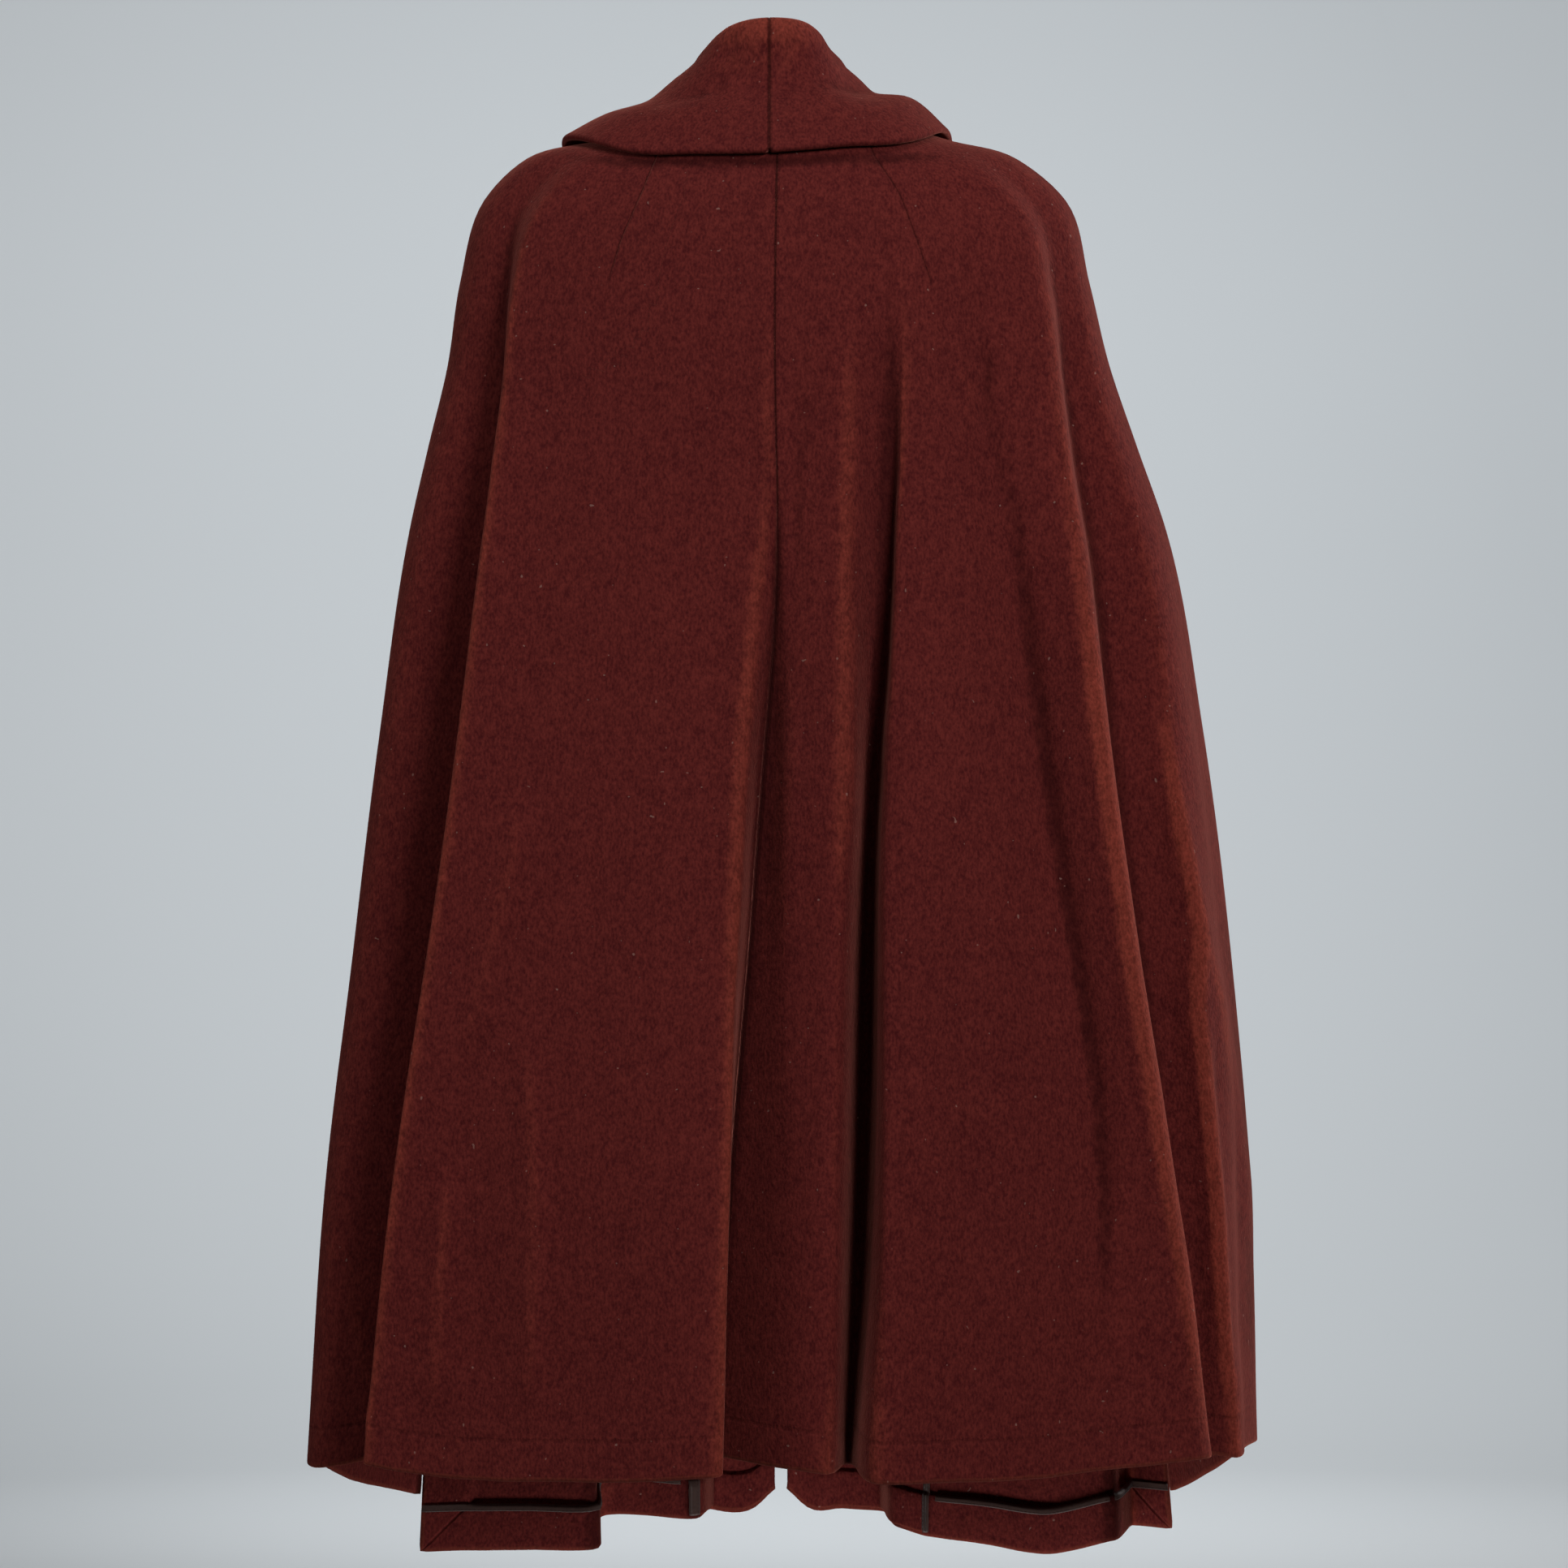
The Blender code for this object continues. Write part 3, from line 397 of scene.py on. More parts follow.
def through(knots, values, at, sharp=0):
    """A curve through a row of values at each knot, read at the places at. A sharp knot is a tight bend."""
    knots, values, at = (np.asarray(part, float) for part in (knots, values, at))
    steps = np.diff(knots)
    secants = np.diff(values, axis=0) / steps[:, None]
    slopes = np.empty_like(values)
    slopes[0], slopes[-1] = secants[0], secants[-1]
    weight = (steps[:-1] / (steps[:-1] + steps[1:]))[:, None]
    slopes[1:-1] = secants[:-1] * (1 - weight) + secants[1:] * weight
    slopes *= 1 - np.broadcast_to(sharp, len(knots))[:, None]
    span = np.clip(np.searchsorted(knots, at, side="right") - 1, 0, len(steps) - 1)
    h = steps[span][:, None]
    s = ((at - knots[span]) / steps[span])[:, None]
    return (
        values[span] * (1 + 2 * s) * (1 - s) ** 2
        + slopes[span] * h * s * (1 - s) ** 2
        + values[span + 1] * s * s * (3 - 2 * s)
        + slopes[span + 1] * h * s * s * (s - 1)
    )


def gone(points):
    """Distance along a row of points."""
    steps = np.linalg.norm(np.diff(points, axis=0), axis=-1)
    return np.concatenate([np.zeros_like(steps[:1]), np.cumsum(steps, axis=0)])


def running(points):
    """Distance along a row of points, as shares of its whole length."""
    return gone(points) / gone(points)[-1]


def eased(value):
    """0 below 0, 1 above 1, and smooth between them."""
    value = np.clip(value, 0, 1)
    return value * value * (3 - 2 * value)


SECTION_SIZES = np.array([row[1:] for row in SECTIONS])
SECTION_KNOTS = running(SECTION_SIZES[:, [0, 4]])


def ring(share, bearing, out):
    """Points of the level section at that share of the way down, standing out by out."""
    left, right, back, front, side_z, back_z, front_z = through(SECTION_KNOTS, SECTION_SIZES, [share])[0]
    angle = np.radians(bearing)
    c, s = np.cos(angle), np.sin(angle)
    width = np.where(c > 0, left, right)
    depth = np.where(s > 0, back, front)
    normal_x, normal_y = c / width, s / depth
    length = np.hypot(normal_x, normal_y)
    x = width * c + out * normal_x / length
    y = depth * s + out * normal_y / length
    z = side_z * c * c + np.where(s > 0, back_z, front_z) * s * s
    return np.stack([x, y, z], axis=-1)


def fold_lines(folds, share):
    """Bearing, out and lift of each fold line at that share of the way down."""
    levels = (FOLD_TOP, *LEVELS)
    bearings = np.array([(row[1][0], *row[1]) for row in folds], float).T
    outs = np.array([(0, *row[2]) for row in folds], float).T
    at = [max(share, FOLD_TOP)]
    below = max((share - HEM_LIFT_FROM) / (1 - HEM_LIFT_FROM), 0)
    lift = np.array([row[3] for row in folds]) * below**HEM_LIFT_POWER
    return np.stack([through(levels, bearings, at)[0], through(levels, outs, at)[0], lift], axis=1)


def opened(share):
    """0 above the arm slit, growing to 1 at the hem."""
    s = max((share - SLIT_TOP) / (1 - SLIT_TOP), 0)
    return s**SLIT_OPENING


def front_lines(folds, share, seam_end):
    """The fold lines of a front, its slit edge held on the back's edge down to the top of the slit."""
    lines = fold_lines(folds, share)
    back_end = 0 if seam_end == -1 else -1
    gap = fold_lines(folds, 1.0)[seam_end] - fold_lines(BACK_FOLDS, 1.0)[back_end]
    lines[seam_end] = fold_lines(BACK_FOLDS, share)[back_end] + gap * opened(share)
    return lines


def columns(folds):
    """Places across a panel, closer where the folds are close, and each fold line's own column."""
    at_hem = fold_lines(folds, 1.0)
    line = ring(1.0, at_hem[:, 0], at_hem[:, 1])[:, :2]
    knots = running(line)
    places, at = [0.0], []
    for a, b, long in zip(knots[:-1], knots[1:], np.diff(gone(line))):
        count = max(2, round(long / COLUMN_WIDTH))
        at.append(len(places) - 1)
        places += [a + (b - a) * (k + 1) / count for k in range(count)]
    return knots, np.array(places), dict(zip([row[0] for row in folds], [*at, len(places) - 1]))


def hem_wave(points, share):
    """How much the cloth lifts and drops near the hem."""
    grown = eased((share - HEM_WAVE_FROM) / (1 - HEM_WAVE_FROM))
    if grown == 0:
        return np.zeros(len(points))
    found = [sum(h * noise.noise(Vector((x * n, y * n, 0))) for n, h in HEM_WAVES) for x, y, _ in points]
    return grown * np.array(found)


def surface(lines_at, folds, knots, places):
    """Rows of points of the outside of the cloth."""
    rows, sharp = [], [row[4] for row in folds]
    for share in ROWS:
        bearing, out, lift = through(knots, lines_at(share), places, sharp).T
        points = ring(share, bearing, out)
        points[:, 2] += lift + hem_wave(points, share)
        rows.append(points)
    return np.array(rows)


def normals(points):
    """Outward normals of a grid whose rows run down and whose columns run anticlockwise.

    At a bend each is longer, so that a wall made by them keeps its thickness.
    """
    step = np.diff(points, axis=1)
    step /= np.linalg.norm(step, axis=2, keepdims=True)
    across = np.concatenate([step[:, :1], (step[:, :-1] + step[:, 1:]) / 2, step[:, -1:]], axis=1)
    found = np.cross(np.gradient(points, axis=0), across)
    bend = np.maximum(np.linalg.norm(across, axis=2, keepdims=True), MITRE)
    return found / np.linalg.norm(found, axis=2, keepdims=True) / bend


def raised(points, rows):
    """What the rows of a table of creases add at each point."""
    found = np.zeros(points.shape[:2])
    for _, side, path, height, width in rows:
        signed, along = near_path(points, path)
        grown = eased(along / CREASE_FADE) * eased((1 - along) / CREASE_FADE)
        on_side = points[..., 1] > 0 if side == "back" else points[..., 1] < 0
        found += np.where(on_side, height * grown * np.exp(-((signed / width) ** 2)), 0)
    return found


def standing(points, normal):
    """How far each point stands out from the cloth beside it in its row: minus in a hollow, with the painted
    highlights and shades of the nap added.
    """
    found = np.zeros(points.shape[:2])
    for row, (line, up) in enumerate(zip(points, normal)):
        at = gone(line)
        sides = []
        for reach in (-CREST_REACH, CREST_REACH):
            sides.append(np.stack([np.interp(at + reach, at, part) for part in line.T], axis=-1))
        out = ((line - (sides[0] + sides[1]) / 2) * up).sum(axis=1)
        found[row] = out * eased(np.minimum(at, at[-1] - at) / CREST_REACH)
    return found + raised(points, PAINTED_NAP_LIGHT)


def near_path(points, path):
    """Signed distance across a path in x and z, and the share of the way along it, for each point."""
    flat = points[..., [0, 2]]
    path = np.array(path)
    along_all = running(path)
    best = np.full(flat.shape[:-1], np.inf)
    signed, along = np.zeros_like(best), np.zeros_like(best)
    for k, (a, b) in enumerate(zip(path[:-1], path[1:])):
        step = b - a
        share = ((flat - a) @ step) / (step @ step)
        held = np.clip(share, 0, 1)
        reach = flat - (a + held[..., None] * step)
        distance = np.linalg.norm(reach, axis=-1)
        closer = distance < best
        side = np.sign(step[0] * (flat - a)[..., 1] - step[1] * (flat - a)[..., 0])
        best = np.where(closer, distance, best)
        signed = np.where(closer, distance * side, signed)
        past_end = np.where((k == 0) & (share < 0), share, held)
        past_end = np.where((k == len(path) - 2) & (share > 1), share, past_end)
        spot = along_all[k] + (along_all[k + 1] - along_all[k]) * past_end
        along = np.where(closer, spot, along)
    return signed, along


def creased(points, normal, creases):
    """The points moved out and in by the creases and swells."""
    out = raised(points, creases)
    for row in range(points.shape[0]):
        for column in range(points.shape[1]):
            x, y, z = points[row, column]
            for across, down, height in SWELLS:
                swell = noise.noise(Vector((x * across, y * across, z * down + across)))
                out[row, column] += height * swell * min(1, row / SWELL_ROWS)
    return points + normal * out[..., None]


# Turning a form into cloth.


def towards(edge, beside):
    """Unit steps from an edge's points to the ones beside it."""
    step = beside - edge
    return step / np.linalg.norm(step, axis=-1, keepdims=True)


def shell(name, outer, normal, thick, rounds, finish, uvs):
    """A closed thin shell below the points outer, with rounded edges.

    rounds gives the radius of the top, bottom, first and last edge. uvs is a table of named maps, one
    value pair for each point of the grid.
    """
    rows, cols = outer.shape[:2]
    top, bottom, first, last = rounds
    middle = outer - normal * thick[..., None] / 2
    inward = np.zeros_like(outer)
    radius = np.zeros((rows, cols))
    edges = (
        ((0, slice(None)), (1, slice(None)), top),
        ((-1, slice(None)), (-2, slice(None)), bottom),
        ((slice(None), 0), (slice(None), 1), first),
        ((slice(None), -1), (slice(None), -2), last),
    )
    for edge, beside, size in edges:
        size = np.minimum(size, thick[edge] * ROUND_LIMIT)
        inward[edge] += towards(outer[edge], outer[beside]) * size[..., None]
        radius[edge] = np.where(radius[edge] > 0, np.minimum(radius[edge], size), size)
    middle = middle + inward
    half = thick / 2
    upper = middle + normal * half[..., None]
    lower = middle - normal * half[..., None]

    rim = [(0, c) for c in range(cols)]
    rim += [(r, cols - 1) for r in range(1, rows)]
    rim += [(rows - 1, c) for c in range(cols - 2, -1, -1)]
    rim += [(r, 0) for r in range(rows - 2, 0, -1)]
    at_rows, at_cols = np.array(rim).T
    outward = -inward[at_rows, at_cols]
    outward /= np.maximum(np.linalg.norm(outward, axis=1, keepdims=True), 1e-9)
    size, up = radius[at_rows, at_cols][:, None], normal[at_rows, at_cols]
    core, high = middle[at_rows, at_cols], half[at_rows, at_cols][:, None]
    rings = []
    for face, turns in ((1, RIM_TURNS), (-1, RIM_TURNS[::-1])):
        for turn in np.radians(turns):
            s, c = math.sin(turn), math.cos(turn)
            rings.append(core + outward * size * s + face * up * (high - size + size * c))

    points = np.concatenate([upper.reshape(-1, 3), lower.reshape(-1, 3), *rings])
    source = [np.arange(rows * cols), np.arange(rows * cols), *[at_rows * cols + at_cols] * len(rings)]
    source = np.concatenate(source)
    grid = np.arange(rows * cols).reshape(rows, cols)
    a, b = grid[:-1, :-1].ravel(), grid[:-1, 1:].ravel()
    d, e = grid[1:, :-1].ravel(), grid[1:, 1:].ravel()
    inner = rows * cols
    faces = [np.stack([a, d, e, b], axis=1), np.stack([a, b, e, d], axis=1) + inner]
    chain = [at_rows * cols + at_cols]
    chain += [2 * inner + k * len(rim) + np.arange(len(rim)) for k in range(len(rings))]
    chain += [at_rows * cols + at_cols + inner]
    for near, far in zip(chain[:-1], chain[1:]):
        faces.append(np.stack([near, np.roll(near, -1), np.roll(far, -1), far], axis=1))
    faces = np.concatenate(faces)

    mesh = bpy.data.meshes.new(name)
    mesh.from_pydata(points.tolist(), [], faces.tolist())
    mesh.shade_smooth()
    corners = np.empty(len(mesh.loops), np.int32)
    mesh.loops.foreach_get("vertex_index", corners)
    for map_name, values in uvs.items():
        layer = mesh.uv_layers.new(name=map_name)
        flat = np.asarray(values, float).reshape(-1, 2)[source[corners]]
        layer.data.foreach_set("uv", flat.ravel())
    mesh.materials.append(finish)
    made = bpy.data.objects.new(name, mesh)
    bpy.context.scene.collection.objects.link(made)
    return made


def cut_map(points, from_first):
    """Distances in the cloth from one side edge and up from the hem."""
    across = gone(points.transpose(1, 0, 2)).T
    if not from_first:
        across = across[:, -1:] - across
    down = gone(points)
    return np.stack([across, down[-1:] - down], axis=-1)


def panel_thickness(cut):
    """Two layers in the turned-up hem and beside the arm slit, one layer elsewhere."""
    shares = np.array(ROWS)[:, None]
    in_hem = eased((shares - HEM_TOP - HEM_STEP[0]) / (HEM_STEP[1] - HEM_STEP[0]))
    in_turn = eased((SLIT_TURN - cut[..., 0]) / SLIT_TURN_STEP)
    in_turn = in_turn * eased((shares - SLIT_TOP) / SLIT_TURN_START)
    return CLOTH + (TURNED_CLOTH - CLOTH) * np.maximum(in_hem, in_turn)


def read_grid(grid, at_rows, at_cols):
    """A grid read at rows and columns that may lie between its own."""
    for axis, at in ((0, at_rows), (1, at_cols)):
        low = np.clip(np.floor(at).astype(int), 0, grid.shape[axis] - 2)
        size = [1] * grid.ndim
        size[axis] = -1
        s = (at - low).reshape(size)
        grid = grid.take(low, axis) * (1 - s) + grid.take(low + 1, axis) * s
    return grid


def sewn_on(points, normal, thick, top, bottom, across):
    """The near face of a strip sewn on the inside of a panel, and its normals and cut map.

    across gives the places of its columns, as distances along the hem from the panel's first edge.
    """
    shares = np.array(ROWS)
    kept = shares[(shares > top + ROW_APART) & (shares < bottom - ROW_APART)]
    narrow, narrow_rows = NARROW_STRIP
    if bottom - top < narrow:
        kept = np.linspace(top, bottom, narrow_rows)[1:-1]
    at_rows = np.interp([top, *kept, bottom], shares, np.arange(len(shares)))
    at_cols = np.interp(across, gone(points[-1]), np.arange(points.shape[1]))
    near = points - normal * (thick + LYING_GAP)[..., None]
    near, up = read_grid(near, at_rows, at_cols), read_grid(normal, at_rows, at_cols)
    up /= np.linalg.norm(up, axis=2, keepdims=True)
    return near, up, cut_map(near, True)


# The collar.


def shoulder_height(radius, angle):
    """How high the body is at a distance from the axis of the collar."""
    x, y = COLLAR_AXIS_X + radius * np.cos(angle), radius * np.sin(angle)
    shares = np.linspace(0, LEVELS[1], SHOULDER_READINGS)
    left, right, back, front, side_z, back_z, front_z = through(SECTION_KNOTS, SECTION_SIZES, shares).T
    across, along = x / (left if x > 0 else right), y / (back if y > 0 else front)
    share = np.interp(1, 1 / (across**2 + along**2), shares)
    turn = np.arctan2(np.interp(share, shares, along), np.interp(share, shares, across))
    return ring(share, np.degrees(turn), 0)[2]


def collar_section(sizes, seam, angle):
    """Points along the middle of the collar's cloth, from the neck seam over the roll to the edge."""
    roll_r, roll_z, crease_r, crease_z, edge_r, bow = sizes
    reach = COLLAR_SLOPE_REACH
    slope = (shoulder_height(edge_r + reach, angle) - shoulder_height(edge_r - reach, angle)) / (2 * reach)
    edge_z = shoulder_height(edge_r, angle) + (COLLAR_CLOTH / 2 + COLLAR_REST) * np.hypot(1, slope)
    seam_r, seam_z = seam
    stand, inwards = COLLAR_STAND
    path = np.array([
        (seam_r, seam_z),
        (seam_r + stand * (roll_r + inwards - seam_r), seam_z + stand * (roll_z - seam_z)),
        *((roll_r + out, roll_z + up) for out, up in COLLAR_ROLL),
        ((roll_r + crease_r) / 2 + COLLAR_FULLNESS, (roll_z + crease_z) / 2),
        (crease_r, crease_z),
        ((crease_r + edge_r) / 2 + COLLAR_FULLNESS, (crease_z + edge_z) / 2 + bow),
        (edge_r, edge_z),
    ])
    knots = running(path)
    shares = [a + (b - a) * k / n for a, b, n in zip(knots, knots[1:], COLLAR_SPANS) for k in range(n)]
    return through(knots, path, [*shares, 1])


def collar_grid(first, last):
    """The upper side of the collar between two bearings: rows run from the neck seam to the edge."""
    bearings = np.array([row[0] for row in COLLAR])
    sizes = np.array([row[1:] for row in COLLAR])
    sections = []
    for bearing in np.linspace(first, last, round((last - first) / COLLAR_STEP) + 1):
        angle = np.radians(bearing)
        seam = ring(0, np.array([bearing]), 0)[0]
        seam_size = (np.hypot(seam[0] - COLLAR_AXIS_X, seam[1]) - CLOTH / 2, seam[2] + NECK_SEAM_RISE)
        line = collar_section(through(bearings, sizes, [bearing])[0], seam_size, angle)
        sections.append([(COLLAR_AXIS_X + r * np.cos(angle), r * np.sin(angle), z) for r, z in line])
    middle = np.array(sections).transpose(1, 0, 2)
    return middle + normals(middle) * COLLAR_CLOTH / 2


# Finishes.


def nodes_of(name):
    made = bpy.data.materials.new(name)
    made.use_nodes = True
    return made, made.node_tree.nodes, made.node_tree.links


def number(nodes, links, kind, *inputs):
    """A Math node with its inputs set or linked, and what it gives."""
    node = nodes.new("ShaderNodeMath")
    node.operation = kind
    for socket, value in zip(node.inputs, inputs):
        if isinstance(value, (int, float)):
            socket.default_value = value
        else:
            links.new(value, socket)
    return node.outputs[0]


def grain(nodes, links, source, scale, detail, stretch=(1, 1, 1)):
    """Noise over the piece, around 0, with scale grains to the metre."""
    turned = nodes.new("ShaderNodeMapping")
    turned.inputs["Scale"].default_value = stretch
    found = nodes.new("ShaderNodeTexNoise")
    found.inputs["Scale"].default_value = scale
    found.inputs["Detail"].default_value = detail
    links.new(source, turned.inputs["Vector"])
    links.new(turned.outputs["Vector"], found.inputs["Vector"])
    return number(nodes, links, "SUBTRACT", found.outputs["Fac"], 0.5)


def band(nodes, links, value, start, end):
    """1 at start and before it, 0 at end and past it."""
    node = nodes.new("ShaderNodeMapRange")
    node.interpolation_type = "SMOOTHSTEP"
    node.inputs["From Min"].default_value = start
    node.inputs["From Max"].default_value = end
    node.inputs["To Min"].default_value = 1
    node.inputs["To Max"].default_value = 0
    links.new(value, node.inputs["Value"])
    return node.outputs["Result"]


def mixed(nodes, links, factor, first, second):
    node = nodes.new("ShaderNodeMix")
    node.data_type = "RGBA"
    links.new(factor, node.inputs["Factor"])
    for socket, value in ((node.inputs[6], first), (node.inputs[7], second)):
        if isinstance(value, tuple):
            socket.default_value = (*value, 1)
        else:
            links.new(value, socket)
    return node.outputs[2]


def split(nodes, links, map_name):
    """The two numbers of a piece's map."""
    source = nodes.new("ShaderNodeUVMap")
    source.uv_map = map_name
    parts = nodes.new("ShaderNodeSeparateXYZ")
    links.new(source.outputs["UV"], parts.inputs["Vector"])
    return parts.outputs["X"], parts.outputs["Y"]


def shade(colour, share):
    return tuple(part * share for part in colour)


def grained(nodes, links, rows, middle):
    """The grains of a finish, and what they add up to in its colour and its height."""
    place = nodes.new("ShaderNodeTexCoord").outputs["Object"]
    grains, total, height = {}, middle, 0
    for name, scale, detail, stretch, share, rise in rows:
        grains[name] = grain(nodes, links, place, scale, detail, stretch)
        total = number(nodes, links, "MULTIPLY_ADD", grains[name], share, total)
        if rise:
            height = number(nodes, links, "MULTIPLY_ADD", grains[name], rise, height)
    return place, grains, total, height


def finished(nodes, links, colour, height, surface):
    """Gives the shader its colour, its relief, where there is one, and its settings."""
    shader = nodes["Principled BSDF"]
    links.new(colour, shader.inputs["Base Color"])
    if height is not None:
        bump = nodes.new("ShaderNodeBump")
        bump.inputs["Strength"].default_value = 1
        bump.inputs["Distance"].default_value = 1
        links.new(height, bump.inputs["Height"])
        links.new(bump.outputs["Normal"], shader.inputs["Normal"])
    for socket, value in surface.items():
        shader.inputs[socket].default_value = value


def wool(name, lines):
    """Melton wool: felted, with a short raised nap, painted highlights on free edges and folds, and painted
    shade in hollows. lines says which sewn lines the piece has.
    """
    made, nodes, links = nodes_of(name)
    place, grains, total, height = grained(nodes, links, WOOL_GRAINS, MIDDLE_SHADE)
    felt = grains["felt"]
    colour = mixed(nodes, links, total, WOOL_DARK, WOOL_LIGHT)

    edge, crest = split(nodes, links, "edge")
    # Painted highlight along free edges, where the nap catches the light.
    edge_reach = number(nodes, links, "MULTIPLY_ADD", felt, EDGE_UNEVEN, edge)
    rim = number(nodes, links, "MULTIPLY", band(nodes, links, edge_reach, *EDGE_HIGHLIGHT_REACH), EDGE_HIGHLIGHT_SHARE)
    colour = mixed(nodes, links, rim, colour, WOOL_EDGE_HIGHLIGHT)
    # Painted highlight on the folds, where the nap catches the light; it is stronger the more the cloth
    # stands out.
    crest = number(nodes, links, "MULTIPLY_ADD", felt, CREST_UNEVEN, crest)
    crest_highlight = number(nodes, links, "SUBTRACT", 1, band(nodes, links, crest, *CREST_HIGHLIGHT_RANGE))
    crest_highlight_colour = mixed(nodes, links, total, shade(WOOL_CREST_HIGHLIGHT, CREST_SHADE), WOOL_CREST_HIGHLIGHT)
    colour = mixed(nodes, links, number(nodes, links, "MULTIPLY", crest_highlight, CREST_HIGHLIGHT_SHARE), colour, crest_highlight_colour)
    # Painted shade in hollows, darker the deeper the cloth lies below the cloth beside it.
    painted_hollow_shade = band(nodes, links, crest, *HOLLOW_SHADE_RANGE)
    painted_hollow_shade = number(nodes, links, "MULTIPLY", painted_hollow_shade, HOLLOW_SHADE_SHARE)
    colour = mixed(nodes, links, painted_hollow_shade, colour, shade(WOOL_DARK, HOLLOW_SHADE))

    specks = grain(nodes, links, place, LINT_SCALE, 0)
    lint = number(nodes, links, "SUBTRACT", 1, band(nodes, links, specks, *LINT))
    colour = mixed(nodes, links, number(nodes, links, "MULTIPLY", lint, LINT_SHARE), colour, LINT_COLOUR)

    for line in lines:
        dark, low = line(nodes, links, grains["fibres"])
        colour = mixed(nodes, links, dark, colour, shade(WOOL_DARK, LINE_SHADE))
        height = number(nodes, links, "MULTIPLY_ADD", low, -LINE_DEPTH, height)
    finished(nodes, links, colour, height, WOOL_SURFACE)
    return made


def groove(nodes, links, fibres, away, inside, line):
    """How dark and how low a sewn line is at a distance from it, where inside is 1."""
    uneven, dark_reach, dip_reach, line_shade = line
    away = number(nodes, links, "ABSOLUTE", away)
    away = number(nodes, links, "MULTIPLY_ADD", fibres, uneven, away)
    dark = number(nodes, links, "MULTIPLY", band(nodes, links, away, LINE_CORE, dark_reach), inside)
    low = number(nodes, links, "MULTIPLY", band(nodes, links, away, LINE_CORE, dip_reach), inside)
    return number(nodes, links, "MULTIPLY", dark, line_shade), low


def dart_line(nodes, links, fibres):
    """The sewn line of a seam or a dart: a fine groove that fades at the dart's point."""
    across, along = split(nodes, links, "dart")
    return groove(nodes, links, fibres, across, band(nodes, links, along, *DART_FADE), SEAM_LINE)


def hem_line(nodes, links, fibres):
    """The faint row where the turned-up hem is caught from inside."""
    _, up = split(nodes, links, "cut")
    away = number(nodes, links, "ABSOLUTE", number(nodes, links, "SUBTRACT", up, HEM_STITCH_UP))
    away = number(nodes, links, "MULTIPLY_ADD", fibres, HEM_STITCH_UNEVEN, away)
    low = number(nodes, links, "MULTIPLY", band(nodes, links, away, *HEM_STITCH_BAND), HEM_STITCH_DIP)
    return number(nodes, links, "MULTIPLY", low, HEM_STITCH_SHADE), low


def mitre_line(nodes, links, fibres):
    """The slanting seam of the turned-in cloth at the corner of the arm slit."""
    across, up = split(nodes, links, "cut")
    inside = band(nodes, links, number(nodes, links, "MAXIMUM", across, up), *MITRE_REACH)
    away = number(nodes, links, "SUBTRACT", across, up)
    return groove(nodes, links, fibres, away, inside, MITRE_LINE)


def satin(name):
    """Narrow satin binding with a fine rib across it."""
    made, nodes, links = nodes_of(name)
    _, _, total, height = grained(nodes, links, SATIN_GRAINS, SATIN_SHADE)
    across, _ = split(nodes, links, "cut")
    close, rise = SATIN_RIBS
    ribs = number(nodes, links, "SINE", number(nodes, links, "MULTIPLY", across, close))
    height = number(nodes, links, "MULTIPLY_ADD", ribs, rise, height)
    finished(nodes, links, mixed(nodes, links, total, SATIN_DARK, SATIN_LIGHT), height, SATIN_SURFACE)
    return made


def smooth_finish(name, rows, dark, light, surface):
    """A finish that has grains in its colour and no relief."""
    made, nodes, links = nodes_of(name)
    _, _, total, _ = grained(nodes, links, rows, MIDDLE_SHADE)
    finished(nodes, links, mixed(nodes, links, total, dark, light), None, surface)
    return made


# Stitches.


